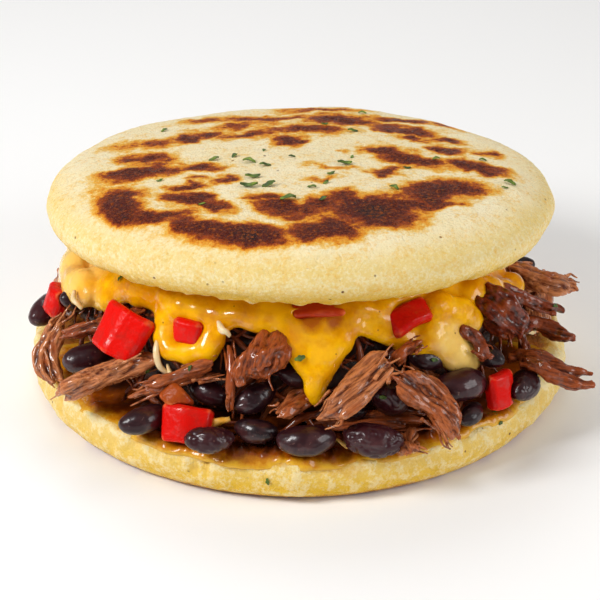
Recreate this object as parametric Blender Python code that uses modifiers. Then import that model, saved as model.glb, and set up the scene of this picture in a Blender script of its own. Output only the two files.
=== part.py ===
"""A stuffed arepa: a griddled corn cake split in two, with a heap of beans, shredded beef,
red pepper and melted cheese between the halves. Metres, +Z up, front towards -Y.

The origin is the middle of the flat underside of the lower half.
"""

import math

import bmesh
import bpy
from mathutils import Matrix, Vector, noise

MM = 0.001
GAP = 0.3 * MM  # air kept between pieces that touch

LOWER_RADIUS = 58 * MM
LOWER_HEIGHT = 10.4 * MM
UPPER_RADIUS = 54 * MM
UPPER_HALF_HEIGHT = 6.75 * MM
UPPER_DOME = 1.8 * MM  # how much the griddled face rises in its middle
UPPER_CENTRE = 39.4 * MM  # height of the middle of the upper half
UPPER_TILT = math.radians(7.5)  # the upper half is raised at the front
UPPER_FLAT = 40 * MM  # radius of its flat underside, where its round edge starts

CHEESE_THICK = 2.8 * MM
CHEESE_EDGE = 41 * MM  # radius at which the cheese folds down over the heap
CHEESE_SPREAD = 10 * MM  # how far out it has run after its drop of CHEESE_SLOPE
CHEESE_SLOPE = 18 * MM
CHEESE_SHORTEST = 4 * MM
# Each tongue of cheese: azimuth from the front and half width in degrees, extra drop in mm.
CHEESE_TONGUES = (
    (-68, 13, 5),
    (-28, 9, 10),
    (4, 7, 15),
    (26, 10, 7),
    (43, 7, 8),
    (66, 10, 5),
    (118, 12, 6),
    (160, 15, 7),
    (-118, 14, 7),
)

HEAP_FRONT = 45 * MM  # radius of the heap's foot behind the front pieces
HEAP_BACK = 51 * MM

AROUND = 48  # faces round each half
BEAN_WIDTH = 0.58  # of its length

# Each bean: place in mm, turn about Z and tip of its long axis in degrees, length in mm.
BEANS = {
    "bean_01": ((-31, -47.3, 13.6), 30, -5, 10.8),
    "bean_02": ((-17.3, -54.8, 13.6), 12, 5, 10.6),
    "bean_03": ((-8.4, -51.6, 13.6), -15, 0, 9.5),
    "bean_04": ((1.6, -55.2, 13.6), 5, 0, 12.3),
    "bean_05": ((14.5, -54.8, 13.6), -8, 4, 12.8),
    "bean_06": ((-8.8, -47.2, 18.5), 25, -20, 10.2),
    "bean_07": ((-18, -43, 17.6), -30, 10, 9.5),
    "bean_08": ((18.2, -46, 17.8), 75, 42, 13.6),
    "bean_09": ((26, -39.5, 23), 30, 20, 9),
    "bean_10": ((32.6, -41.4, 18.2), 28, 6, 12.6),
    "bean_11": ((38.6, -35, 21.4), -60, 0, 8.8),
    "bean_12": ((46, -34.5, 14), 75, 10, 11.5),
    "bean_13": ((41.5, 20.5, 20.5), 100, 10, 9.5),
    "bean_14": ((34.6, -44.2, 13), 60, 0, 7.8),
    "bean_15": ((-42.5, -29.5, 17.8), 35, 0, 13),
    "bean_16": ((-54, -8, 17), 70, 0, 11.5),
    "bean_17": ((-47, -14, 22.5), 60, 30, 9.5),
    "bean_18": ((0, -44.5, 22), 10, 20, 9.5),
    "bean_19": ((9.4, -46.2, 15.8), -10, 15, 9.2),
    "bean_20": ((47, 19.5, 14), 108, 0, 11.5),
    "bean_21": ((25.5, 48.5, 14), 150, 5, 12),
    "bean_22": ((-10, 53.5, 14), 10, 0, 12),
    "bean_23": ((-44, 31, 14), 40, 0, 11.5),
}

# Each piece of pepper: place in mm, turn, lean and roll in degrees, width, height and
# thickness in mm, and how strongly it curls.
PEPPERS = {
    "pepper_01": ((-36, -35.5, 27), -40, 35, 10, (11, 10, 3), 0.6),
    "pepper_02": ((-22, -40, 29.6), -25, 15, 0, (6, 5, 3), 0.2),
    "pepper_03": ((-22.4, -50, 14), -15, 35, 0, (10, 7.5, 3), 0.5),
    "pepper_04": ((-24.3, -46.4, 18), -35, 45, 30, (6.5, 4.4, 2.6), 0.5),
    "pepper_05": ((22, -39.2, 32.6), 30, 60, -12, (9.4, 5.2, 3), 0.5),
    "pepper_06": ((40.9, -39, 15.4), 45, 15, 5, (6.4, 7.5, 3), 0.4),
    "pepper_07": ((-51.6, -11.6, 21.4), -70, 20, 0, (7, 6, 3), 0.4),
    "pepper_08": ((4, -41, 35), 5, 80, 0, (11, 4, 2), 0.3),
    "pepper_09": ((44.5, 31, 14), 128, 30, 20, (9, 8, 3), 0.6),
    "pepper_10": ((-28, 46, 15), -150, 30, 0, (10, 8, 3), 0.6),
}

# Each bundle of shredded beef: three points along it in mm, width and thickness in mm, and
# its roll in degrees.
BEEF = {
    "beef_01": (((-48, -20, 22.8), (-53.5, -23.5, 16.8), (-49, -30, 12.2)), 5, 3, 0),
    "beef_02": (((-31, -29.5, 28.5), (-38.5, -30.5, 26), (-48, -28.5, 22)), 6, 3.4, 0),
    "beef_03": (((-29, -38.8, 22.6), (-38.5, -39, 18.2), (-47.6, -38.4, 13.8)), 10.5, 4.4, 30),
    "beef_04": (((-16, -45, 24.5), (-24, -44, 22.5), (-32, -44, 18.5)), 5, 3.5, 20),
    "beef_05": (((-14.5, -44, 21.8), (-24, -42.6, 20), (-33.5, -42, 15.4)), 4.4, 2.8, 0),
    "beef_06": (((-5, -42, 32.4), (-7.4, -46.2, 28), (-9, -49.8, 22.6)), 10.5, 5.4, 0),
    "beef_07": (((-14, -41, 28), (-13, -48.5, 22), (-13.5, -50, 17)), 2.2, 2.2, 0),
    "beef_08": (((19, -47, 28.5), (12, -51.5, 23.5), (4, -55, 18.5)), 8, 4, -25),
    "beef_09": (((19.4, -49.4, 26), (25.5, -50.5, 19.6), (31.6, -52, 12.8)), 8, 4.2, 25),
    "beef_10": (((24.8, -41.8, 28.8), (21.5, -44, 27.4), (18.6, -45.8, 26)), 3.6, 2.8, 0),
    "beef_11": (((2, -47, 12.4), (14, -47, 12.2), (26, -46, 12.4)), 5, 2.6, 0),
    "beef_12": (((21.5, -49.5, 12.6), (22, -53, 12.2), (22.5, -57, 11.8)), 4, 2.6, 0),
    "beef_13": (((4, -47, 18.5), (-1, -48.5, 18.8), (-5, -52, 18)), 5, 3, 0),
    "beef_14": (((36.5, -27.5, 32), (41.5, -28.5, 28), (46, -30, 23.5)), 9, 6, 30),
    "beef_15": (((38, -21, 30), (46.5, -20.5, 26), (55, -17, 21.5)), 5, 3, 0),
    "beef_16": (((44, -6, 26), (52, -5.5, 23), (60, -4.5, 20)), 9, 4, 0),
    "beef_17": (((46, -20, 20.5), (51.5, -21.5, 19.5), (57, -23, 18.5)), 4.5, 3.2, 0),
    "beef_18": (((43, -30, 18.4), (51, -31, 17.2), (59.5, -33, 15.5)), 7, 3.6, 0),
    "beef_19": (((33, -34, 29), (35.5, -36.5, 26), (39, -38.5, 23)), 4.5, 3, 0),
    "beef_20": (((-18, 49, 21), (-22.5, 50.5, 17), (-24, 53, 12.8)), 5, 3, 0),
    "beef_21": (((40, 38, 13), (36, 42, 15.5), (26, 45, 20)), 6, 3.5, 0),
    "beef_22": (((18, 50, 20), (10, 52, 16), (0, 54, 13)), 7, 3.5, 0),
    "beef_23": (((-42, 18, 23), (-46.5, 20, 18.5), (-50.5, 22, 13)), 6, 3.5, 0),
}
BEEF_SIDES = 8
BEEF_STEPS = 4


def clear_scene():
    for thing in list(bpy.data.objects):
        bpy.data.objects.remove(thing, do_unlink=True)


def new_collection(name):
    made = bpy.data.collections.new(name)
    bpy.context.scene.collection.children.link(made)
    return made


def new_material(name, colour, roughness):
    made = bpy.data.materials.new(name)
    made.use_nodes = True
    shader = made.node_tree.nodes["Principled BSDF"]
    shader.inputs["Base Color"].default_value = (*colour, 1)
    shader.inputs["Roughness"].default_value = roughness
    shader.inputs["Metallic"].default_value = 0
    return made


def add_object(name, mesh, material):
    made = bpy.data.objects.new(name, mesh)
    arepa.objects.link(made)
    mesh.materials.clear()
    mesh.materials.append(material)
    mesh.shade_smooth()
    mesh.set_sharp_from_angle(angle=math.radians(60))
    return made


def ellipse_arc(centre, across, up, start, end, steps):
    """Points (r, z) from angle start to end in degrees, where 0 is straight out."""
    points = []
    for step in range(steps + 1):
        angle = math.radians(start + (end - start) * step / steps)
        points.append((centre[0] + across * math.cos(angle), centre[1] + up * math.sin(angle)))
    return points


def turned_mesh(name, profile):
    """The closed solid that a profile (r, z), listed from top to bottom, makes round Z."""
    outline = bpy.data.meshes.new(name + "_profile")
    outline.from_pydata([(r, 0, z) for r, z in profile], [(i, i + 1) for i in range(len(profile) - 1)], [])
    turned = bpy.data.objects.new(name + "_profile", outline)
    bpy.context.scene.collection.objects.link(turned)
    screw = turned.modifiers.new("Turn", "SCREW")
    screw.steps = screw.render_steps = AROUND
    screw.use_merge_vertices = True
    screw.merge_threshold = 0.00001
    graph = bpy.context.evaluated_depsgraph_get()
    mesh = bpy.data.meshes.new_from_object(turned.evaluated_get(graph))
    mesh.name = name
    bpy.data.objects.remove(turned, do_unlink=True)
    return mesh


def lump(x, y, z, size, seed):
    """Smooth unevenness between about -1 and 1, with bumps of the given size."""
    return noise.noise(Vector((x / size + seed, y / size - seed, z / size + 2 * seed)))


def lower_half():
    """The lower half: cut face on top, griddled outside, flat where it rests."""
    rim = 2.2 * MM
    foot = 4 * MM
    edge = 5 * MM
    profile = [(0, LOWER_HEIGHT), (20 * MM, LOWER_HEIGHT - 0.1 * MM), (38 * MM, LOWER_HEIGHT - 0.3 * MM)]
    profile += ellipse_arc((LOWER_RADIUS - rim, edge), rim, LOWER_HEIGHT - 0.9 * MM - edge, 90, 0, 3)
    profile += ellipse_arc((LOWER_RADIUS - foot, edge), foot, edge, -18, -90, 4)
    profile.append((0, 0))
    mesh = turned_mesh("lower_half", profile)
    for point in mesh.vertices:
        x, y, z = point.co
        spread = math.hypot(x, y) / LOWER_RADIUS
        out = 1 + 0.012 * spread * lump(x, y, 0, 30 * MM, 3)
        lift = 0.35 * MM * lump(x, y, 0, 9 * MM, 5) if z > edge else 0
        point.co = (x * out, y * out, z + lift)
    return add_object("bottom_cake", mesh, new_material("corn_cake_lower", (0.86, 0.68, 0.33), 0.7))


def upper_half():
    """The upper half, lying griddled side up on the filling and tipped back."""
    edge = UPPER_RADIUS - UPPER_FLAT
    top = UPPER_HALF_HEIGHT + UPPER_DOME
    profile = [(0, top), (22 * MM, top - 0.3 * MM)]
    profile += ellipse_arc((UPPER_FLAT, 0), edge, top - 0.9 * MM, 90, 0, 5)
    profile += ellipse_arc((UPPER_FLAT, 0), edge, UPPER_HALF_HEIGHT, -20, -90, 4)
    profile.append((0, -UPPER_HALF_HEIGHT))
    mesh = turned_mesh("upper_half", profile)
    for point in mesh.vertices:
        x, y, z = point.co
        spread = math.hypot(x, y) / UPPER_RADIUS
        out = 1 + 0.014 * spread * lump(x, y, 0, 34 * MM, 11)
        lift = 0.7 * MM * lump(x, y, 0, 14 * MM, 7) if z > 0 else 0
        point.co = (x * out, y * out, z + lift)
    made = add_object("top_cake", mesh, new_material("corn_cake_upper", (0.87, 0.70, 0.36), 0.65))
    made.location = (0.4 * MM, 0, UPPER_CENTRE)
    made.rotation_euler = (-UPPER_TILT, 0, 0)
    return made


def under_upper(y):
    """Height of the upper half's flat underside at the given y."""
    drop = UPPER_HALF_HEIGHT * math.cos(UPPER_TILT)
    along = y + UPPER_HALF_HEIGHT * math.sin(UPPER_TILT)
    return UPPER_CENTRE - drop - math.tan(UPPER_TILT) * along


def heap():
    """The heap of filling behind the pieces that show, from one half to the other."""
    foot = LOWER_HEIGHT + GAP
    profile = [(0, 1), (0.55, 1), (0.79, 0.98), (0.89, 0.6), (1, 0.25), (0.97, 0), (0.5, 0), (0, 0)]
    mesh = turned_mesh("heap", profile)
    for point in mesh.vertices:
        x, y, level = point.co
        reach = math.hypot(x, y)
        back = 0.5 + 0.5 * y / max(reach, MM)
        radius = HEAP_FRONT + (HEAP_BACK - HEAP_FRONT) * back**0.7
        if reach > 0.7:
            radius *= 1 + 0.05 * lump(x * 0.05, y * 0.05, 0, 12 * MM, 4)
        top = under_upper(y * radius) - CHEESE_THICK - 2.5 * GAP
        point.co = (x * radius, y * radius, foot + level * (top - foot))
    return add_object("filling_bed", mesh, new_material("filling", (0.10, 0.03, 0.015), 0.5))


def tongue_drop(angle):
    """How far the cheese hangs down at an azimuth."""
    drop = CHEESE_SHORTEST
    for middle, width, extra in CHEESE_TONGUES:
        apart = (angle - middle + 180) % 360 - 180
        drop += extra * MM * math.exp(-((apart / width) ** 2))
    return drop


def cheese_section(angle):
    """One half section (r, z below the upper half) of the cheese, from its middle outwards
    over the edge to the end of its skirt, and back along the inner side."""
    drop = tongue_drop(angle)

    def slope(down):
        return CHEESE_EDGE + CHEESE_SPREAD * (down / CHEESE_SLOPE) ** 0.8

    outer = [(0, 0), (22 * MM, 0), (38 * MM, 0)]
    outer += [(slope(drop * part), -drop * part) for part in (0.12, 0.35, 0.6, 0.85)]
    tip = [(slope(drop) - 1.1 * MM, -drop - 0.5 * MM)]
    inner = [(slope(drop * part) - CHEESE_THICK, -drop * part) for part in (0.85, 0.6, 0.35)]
    back = [(37 * MM, -CHEESE_THICK), (22 * MM, -CHEESE_THICK), (0, -CHEESE_THICK)]
    return outer + tip + inner + back


def cheese():
    """The melted cheese: a sheet under the upper half that runs down over the heap."""
    build = bmesh.new()
    rings = []
    for step in range(AROUND):
        angle = 360 * step / AROUND
        x = math.sin(math.radians(angle))
        y = -math.cos(math.radians(angle))
        ring = []
        for r, z in cheese_section(angle):
            ring.append(build.verts.new((r * x, r * y, under_upper(r * y) - GAP + z)))
        rings.append(ring)
    for ring, following in zip(rings, rings[1:] + rings[:1]):
        for i in range(len(ring) - 1):
            build.faces.new((ring[i], ring[i + 1], following[i + 1], following[i]))
    bmesh.ops.remove_doubles(build, verts=build.verts, dist=0.01 * MM)
    bmesh.ops.recalc_face_normals(build, faces=build.faces)
    mesh = bpy.data.meshes.new("cheese")
    build.to_mesh(mesh)
    build.free()
    return add_object("cheese", mesh, new_material("melted_cheese", (0.90, 0.52, 0.05), 0.35))


def bean(name, place, turn, tip, length):
    build = bmesh.new()
    bmesh.ops.create_uvsphere(build, u_segments=10, v_segments=6, radius=0.5)
    bmesh.ops.rotate(build, verts=build.verts, matrix=Matrix.Rotation(math.radians(90), 3, "Y"))
    for point in build.verts:
        x, y, z = point.co
        bend = 0.28 * (x * x * 4) * BEAN_WIDTH * 0.5
        point.co = Vector((x, y * BEAN_WIDTH * 1.05 + bend - 0.03, z * BEAN_WIDTH)) * length * MM
    mesh = bpy.data.meshes.new(name)
    build.to_mesh(mesh)
    build.free()
    made = add_object(name, mesh, bean_skin)
    made.location = Vector(place) * MM
    made.rotation_euler = (0, math.radians(tip), math.radians(turn))
    return made


def pepper(name, place, turn, lean, roll, size, curl):
    width, height, thick = (side * MM for side in size)
    build = bmesh.new()
    bmesh.ops.create_cube(build, size=1)
    bmesh.ops.scale(build, vec=(width, thick, height), verts=build.verts)
    crosswise = [edge for edge in build.edges if abs(edge.verts[0].co.x - edge.verts[1].co.x) > 0.5 * width]
    bmesh.ops.subdivide_edges(build, edges=crosswise, cuts=1, use_grid_fill=True)
    bmesh.ops.bevel(build, geom=build.edges, offset=0.22 * thick, segments=1, affect="EDGES")
    for point in build.verts:
        x, y, z = point.co
        point.co.y = y + curl * thick * ((2 * x / width) ** 2 - 0.3)
        point.co.x = x * (1 + 0.12 * z / height)
    mesh = bpy.data.meshes.new(name)
    build.to_mesh(mesh)
    build.free()
    made = add_object(name, mesh, pepper_skin)
    made.location = Vector(place) * MM
    made.rotation_euler = (math.radians(-lean), math.radians(roll), math.radians(turn))
    return made


def fibre_section(name, width, thick):
    """A ridged outline across the fibres, which the bundle's path sweeps along."""
    outline = bpy.data.curves.new(name + "_section", "CURVE")
    outline.dimensions = "2D"
    spline = outline.splines.new("POLY")
    spline.points.add(BEEF_SIDES - 1)
    for i, point in enumerate(spline.points):
        angle = 2 * math.pi * i / BEEF_SIDES
        reach = 0.5 * MM * (1 if i % 2 == 0 else 0.82)
        point.co = (reach * width * math.cos(angle), reach * thick * math.sin(angle), 0, 1)
    spline.use_cyclic_u = True
    guide = bpy.data.objects.new(name + "_section", outline)
    guides.objects.link(guide)
    guide.hide_render = True
    guide.display_type = "WIRE"
    return guide


def on_path(points, share):
    """The point at a share of the way along the smooth path through three points."""
    first, middle, last = (Vector(point) * MM for point in points)
    bend = middle * 2 - (first + last) / 2
    return first * (1 - share) ** 2 + bend * 2 * share * (1 - share) + last * share**2


def beef(name, points, width, thick, roll):
    path = bpy.data.curves.new(name, "CURVE")
    path.dimensions = "3D"
    path.twist_mode = "Z_UP"
    path.bevel_mode = "OBJECT"
    path.bevel_object = fibre_section(name, width, thick)
    path.use_fill_caps = True
    spline = path.splines.new("POLY")
    spline.points.add(BEEF_STEPS)
    for i, point in enumerate(spline.points):
        share = i / BEEF_STEPS
        point.co = (*on_path(points, share), 1)
        point.radius = 0.55 + 0.45 * math.sin(math.pi * (0.12 + 0.8 * share))
        point.tilt = math.radians(roll + 20 * share)
    swept = bpy.data.objects.new(name + "_path", path)
    guides.objects.link(swept)
    bpy.context.view_layer.update()
    graph = bpy.context.evaluated_depsgraph_get()
    mesh = bpy.data.meshes.new_from_object(swept.evaluated_get(graph))
    mesh.name = name
    build = bmesh.new()
    build.from_mesh(mesh)
    bmesh.ops.remove_doubles(build, verts=build.verts, dist=0.01 * MM)
    bmesh.ops.recalc_face_normals(build, faces=build.faces)
    build.to_mesh(mesh)
    build.free()
    bpy.data.objects.remove(swept, do_unlink=True)
    return add_object(name, mesh, beef_fibre)


def box_of(thing):
    corners = [thing.matrix_world @ Vector(corner) for corner in thing.bound_box]
    low = Vector(min(corner[axis] for corner in corners) for axis in range(3))
    high = Vector(max(corner[axis] for corner in corners) for axis in range(3))
    return low, high


def boxes_meet(one, other):
    low, high = box_of(one)
    other_low, other_high = box_of(other)
    return all(low[i] < other_high[i] + GAP and other_low[i] < high[i] + GAP for i in range(3))


def press_into(soft, firm_pieces):
    """Cuts from a soft piece the room that the firmer pieces beside it take up."""
    for firm in firm_pieces:
        if not boxes_meet(soft, firm):
            continue
        cutter = cutters.objects.get("room_for_" + firm.name)
        if cutter is None:
            cutter = bpy.data.objects.new("room_for_" + firm.name, firm.data)
            cutters.objects.link(cutter)
            cutter.matrix_world = firm.matrix_world.copy()
            swell = cutter.modifiers.new("Gap", "DISPLACE")
            swell.strength = GAP
            swell.mid_level = 0
            cutter.hide_render = True
            cutter.display_type = "WIRE"
        cut = soft.modifiers.new("Room for " + firm.name, "BOOLEAN")
        cut.operation = "DIFFERENCE"
        cut.object = cutter


clear_scene()
arepa = new_collection("stuffed_arepa")
cutters = new_collection("cutters")
guides = new_collection("guides")
bean_skin = new_material("black_bean", (0.018, 0.008, 0.012), 0.25)
pepper_skin = new_material("red_pepper", (0.62, 0.02, 0.01), 0.25)
beef_fibre = new_material("shredded_beef", (0.13, 0.045, 0.025), 0.5)

halves = [lower_half(), upper_half()]
bed = heap()
melted = cheese()
beans = [bean(name, *values) for name, values in BEANS.items()]
peppers = [pepper(name, *values) for name, values in PEPPERS.items()]
bundles = [beef(name, *values) for name, values in BEEF.items()]
bpy.context.view_layer.update()

for number, piece in enumerate(peppers):
    press_into(piece, halves + beans + peppers[:number])
for number, piece in enumerate(bundles):
    press_into(piece, halves + beans + peppers + bundles[:number])
press_into(melted, halves + beans + peppers + bundles)
press_into(bed, beans + peppers + bundles + [melted])
guides.hide_render = True
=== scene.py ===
import math
import random

import bpy
import numpy as np
from mathutils import Matrix, Vector, noise


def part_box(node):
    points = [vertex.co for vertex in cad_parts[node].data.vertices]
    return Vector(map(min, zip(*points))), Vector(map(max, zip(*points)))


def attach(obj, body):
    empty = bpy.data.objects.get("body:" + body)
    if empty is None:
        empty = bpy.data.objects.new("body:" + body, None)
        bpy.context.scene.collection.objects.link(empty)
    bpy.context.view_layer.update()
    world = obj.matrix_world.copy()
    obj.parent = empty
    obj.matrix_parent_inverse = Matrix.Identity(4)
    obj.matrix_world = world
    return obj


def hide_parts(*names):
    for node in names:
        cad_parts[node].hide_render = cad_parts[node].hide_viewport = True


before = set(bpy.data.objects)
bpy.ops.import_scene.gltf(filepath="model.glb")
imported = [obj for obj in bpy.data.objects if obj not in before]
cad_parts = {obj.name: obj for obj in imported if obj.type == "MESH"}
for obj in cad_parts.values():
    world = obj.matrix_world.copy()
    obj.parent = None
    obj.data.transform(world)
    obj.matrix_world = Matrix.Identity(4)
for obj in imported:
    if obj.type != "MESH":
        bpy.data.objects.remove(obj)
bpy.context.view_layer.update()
mm = 0.001
body = "root"


def selectOnly(*pieces):
    bpy.ops.object.select_all(action="DESELECT")
    for piece in pieces:
        piece.select_set(True)
    bpy.context.view_layer.objects.active = pieces[0]


def nameIt(piece, name):
    piece.name = name
    piece.data.name = name
    return piece


def applyModifier(piece, kind, **settings):
    selectOnly(piece)
    modifier = piece.modifiers.new(kind.title(), kind)
    for key, value in settings.items():
        setattr(modifier, key, value)
    bpy.ops.object.modifier_apply(modifier=modifier.name)


def copyNode(node, name):
    # a CAD node's mesh comes as loose triangles, so its copy is merged into quads first
    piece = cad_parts[node].copy()
    piece.data = piece.data.copy()
    piece.parent = None
    for key in list(piece.keys()):
        del piece[key]
    bpy.context.scene.collection.objects.link(piece)
    piece.data.materials.clear()
    nameIt(piece, name)
    selectOnly(piece)
    bpy.ops.object.mode_set(mode="EDIT")
    bpy.ops.mesh.select_all(action="SELECT")
    bpy.ops.mesh.remove_doubles(threshold=0.00002)
    bpy.ops.mesh.tris_convert_to_quads()
    bpy.ops.object.mode_set(mode="OBJECT")
    return piece


def pointsOf(piece):
    points = np.empty(len(piece.data.vertices) * 3)
    piece.data.vertices.foreach_get("co", points)
    return points.reshape(-1, 3)


def normalsOf(piece):
    normals = np.empty(len(piece.data.vertices) * 3)
    piece.data.vertices.foreach_get("normal", normals)
    return normals.reshape(-1, 3)


def setPoints(piece, points):
    piece.data.vertices.foreach_set("co", np.ascontiguousarray(points).ravel())
    piece.data.update()


def noiseAt(points, size, seed, depth):
    # unevenness between about -1 and 1, with bumps of the given size
    found = np.zeros(len(points))
    for octave in range(depth):
        step = size / 2**octave
        shift = Vector((seed * 7.3, seed * 3.1, octave * 5.7))
        octaveNoise = [noise.noise(Vector(point) / step + shift) for point in points]
        found += np.array(octaveNoise) / 2**octave
    return found


def roughen(piece, size, amount, seed, depth, where=1.0):
    points = pointsOf(piece)
    lift = noiseAt(points, size, seed, depth) * amount * where
    setPoints(piece, points + normalsOf(piece) * lift[:, None])


def addAttribute(piece, name, values):
    # a value for each point, or one for them all
    attribute = piece.data.attributes.new(name, "FLOAT", "POINT")
    attribute.data.foreach_set("value", np.full(len(piece.data.vertices), values, np.float32))


def addFibre(piece, fibre):
    # where each point lies in the grain of the meat
    attribute = piece.data.attributes.new("fibre", "FLOAT_VECTOR", "POINT")
    attribute.data.foreach_set("vector", np.asarray(fibre, np.float32).ravel())


def azimuthOf(points):
    # degrees round from the front
    return np.degrees(np.arctan2(points[:, 0], -points[:, 1]))


def reachOf(points):
    return np.hypot(points[:, 0], points[:, 1])


def degreesFrom(azimuth, middle):
    # the shorter way round, between -180 and 180
    return (azimuth - middle + 180) % 360 - 180


def remesh(piece, fineness, smoothing):
    applyModifier(piece, "REMESH", mode="VOXEL", voxel_size=fineness, use_smooth_shade=True)
    applyModifier(piece, "SMOOTH", factor=0.5, iterations=smoothing)


def joinPieces(pieces, name):
    selectOnly(*pieces)
    bpy.ops.object.join()
    return nameIt(bpy.context.view_layer.objects.active, name)


def finishPiece(piece, material, slot, *nodes):
    piece.data.materials.clear()
    piece.data.materials.append(material)
    selectOnly(piece)
    bpy.ops.object.shade_smooth()
    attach(piece, body)
    if nodes:
        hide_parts(*nodes)
    return piece


def hollowness(piece, rounds):
    # how deep each point lies below its surroundings, in mm: more than 0 in a furrow
    points, normals = pointsOf(piece), normalsOf(piece)
    ends = np.empty(len(piece.data.edges) * 2, np.int32)
    piece.data.edges.foreach_get("vertices", ends)
    ends = ends.reshape(-1, 2)
    first, second = np.concatenate([ends, ends[:, ::-1]]).T
    count = np.bincount(first, minlength=len(points))
    smooth = points.copy()
    for _ in range(rounds):
        sums = [np.bincount(first, smooth[second, axis], len(points)) for axis in range(3)]
        smooth = np.stack(sums, 1) / count[:, None]
    return ((smooth - points) * normals).sum(1) / mm


def smoothStep(values, low, high):
    share = np.clip((values - low) / (high - low), 0, 1)
    return share * share * (3 - 2 * share)


def newMaterial(name):
    material = bpy.data.materials.new(name)
    material.use_nodes = True
    tree = material.node_tree
    return material, tree, tree.nodes["Principled BSDF"]


def addNode(tree, kind, inputs=None, **settings):
    made = tree.nodes.new(kind)
    for key, value in settings.items():
        setattr(made, key, value)
    for key, value in (inputs or {}).items():
        if isinstance(value, bpy.types.NodeSocket):
            tree.links.new(value, made.inputs[key])
        else:
            made.inputs[key].default_value = value
    return made


def objectPlace(tree):
    return addNode(tree, "ShaderNodeTexCoord").outputs["Object"]


def grain(tree, place, size, detail=2.0, roughness=0.5):
    # noise whose bumps are about this size in metres
    made = addNode(tree, "ShaderNodeTexNoise", {"Vector": place, "Scale": 1 / size, "Detail": detail,
                                                 "Roughness": roughness})
    return made.outputs["Fac"]


def attributeOf(tree, name):
    return addNode(tree, "ShaderNodeAttribute", attribute_name=name).outputs["Fac"]


def calc(tree, operation, first, second):
    return addNode(tree, "ShaderNodeMath", {0: first, 1: second}, operation=operation).outputs[0]


def swing(tree, unevenness, amount=1.0):
    # noise moved so that it lies about 0
    return calc(tree, "MULTIPLY", calc(tree, "SUBTRACT", unevenness, 0.5), amount)


def spread(tree, value, low, high, newLow=0.0, newHigh=1.0):
    made = addNode(tree, "ShaderNodeMapRange", {"Value": value, "From Min": low, "From Max": high,
                                                 "To Min": newLow, "To Max": newHigh})
    return made.outputs["Result"]


def ramp(tree, value, stops):
    made = addNode(tree, "ShaderNodeValToRGB", {"Fac": value})
    band = made.color_ramp
    while len(band.elements) < len(stops):
        band.elements.new(0.5)
    for element, (place, colour) in zip(band.elements, stops):
        element.position = place
        element.color = (*colour, 1)
    return made.outputs["Color"]


def blendColours(tree, share, first, second):
    made = addNode(tree, "ShaderNodeMix", data_type="RGBA")
    for index, value in ((0, share), (6, first), (7, second)):
        if isinstance(value, bpy.types.NodeSocket):
            tree.links.new(value, made.inputs[index])
        elif index:
            made.inputs[index].default_value = (*value, 1)
        else:
            made.inputs[index].default_value = value
    return made.outputs[2]


def tint(tree, base, value, low, high, colour, share=1.0):
    # colours the base where the value rises from low to high
    return blendColours(tree, spread(tree, value, low, high, 0, share), base, colour)


def cellsOf(tree, place, size):
    # distance from the nearest of many scattered points
    return addNode(tree, "ShaderNodeTexVoronoi", {"Vector": place, "Scale": 1 / size}).outputs["Distance"]


def scatteredDots(tree, place, apart, dotEdge, strength, patchSize, patchEdge):
    # small round dots that show only in some patches
    dot = spread(tree, cellsOf(tree, place, apart), *dotEdge, strength, 0)
    rare = spread(tree, grain(tree, place, patchSize, 0), *patchEdge)
    return calc(tree, "MULTIPLY", dot, rare)


def bump(tree, height, depth, strength=1.0, under=None):
    inputs = {"Height": height, "Distance": depth, "Strength": strength}
    if under is not None:
        inputs["Normal"] = under
    return addNode(tree, "ShaderNodeBump", inputs).outputs["Normal"]


def dress(tree, shader, **inputs):
    for key, value in inputs.items():
        socket = shader.inputs[key.replace("_", " ")]
        if isinstance(value, bpy.types.NodeSocket):
            tree.links.new(value, socket)
        elif isinstance(value, tuple) and len(value) == 3 and socket.type == "RGBA":
            socket.default_value = (*value, 1)
        else:
            socket.default_value = value


studio = {
    "cameraFrom": (0.0003, -0.4394, 0.2536),
    "cameraTo": (0.0003, 0, 0.015),
    "lens": 138.24,
    "floor": (0.96, 0.96, 0.96),
    "world": 0.27,
    "worldTint": (1, 0.97, 0.93),
    # each light: place, size, power, what it points at
    "lights": {
        "windowLeft": ((-0.40, -0.22, 0.38), 0.20, 2.6, (0, 0, 0.03)),
        "fillRight": ((0.48, -0.22, 0.26), 0.35, 1.5, (0, 0, 0.03)),
        "topBack": ((-0.05, 0.30, 0.50), 0.30, 0.9, (0, 0, 0.04)),
    },
}


def pointAt(thing, target):
    aim = Vector(target) - thing.location
    thing.rotation_euler = aim.to_track_quat("-Z", "Y").to_euler()


def buildStudio():
    bpy.ops.object.select_all(action="DESELECT")
    bpy.ops.object.camera_add(location=studio["cameraFrom"])
    camera = bpy.context.object
    camera.name = "camera"
    camera.data.lens = studio["lens"]
    camera.data.clip_start = 0.01
    pointAt(camera, studio["cameraTo"])
    bpy.context.scene.camera = camera
    for name, (place, size, power, target) in studio["lights"].items():
        bpy.ops.object.light_add(type="AREA", location=place)
        light = bpy.context.object
        light.name = name
        light.data.size = size
        light.data.energy = power
        pointAt(light, target)
    bpy.ops.mesh.primitive_plane_add(size=4)
    floor = nameIt(bpy.context.object, "floor")
    material, tree, shader = newMaterial("paleFloor")
    cloud = grain(tree, objectPlace(tree), 0.4)
    tone = ramp(tree, cloud, [(0.3, studio["floor"]), (0.7, tuple(c * 0.985 for c in studio["floor"]))])
    dress(tree, shader, Base_Color=tone, Roughness=0.7)
    floor.data.materials.append(material)
    world = bpy.data.worlds.new("studioWorld")
    bpy.context.scene.world = world
    world.use_nodes = True
    back = world.node_tree.nodes["Background"]
    back.inputs["Color"].default_value = (*studio["worldTint"], 1)
    back.inputs["Strength"].default_value = studio["world"]
    bpy.context.scene.view_settings.view_transform = "Standard"


buildStudio()
print("studio ready")


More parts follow.
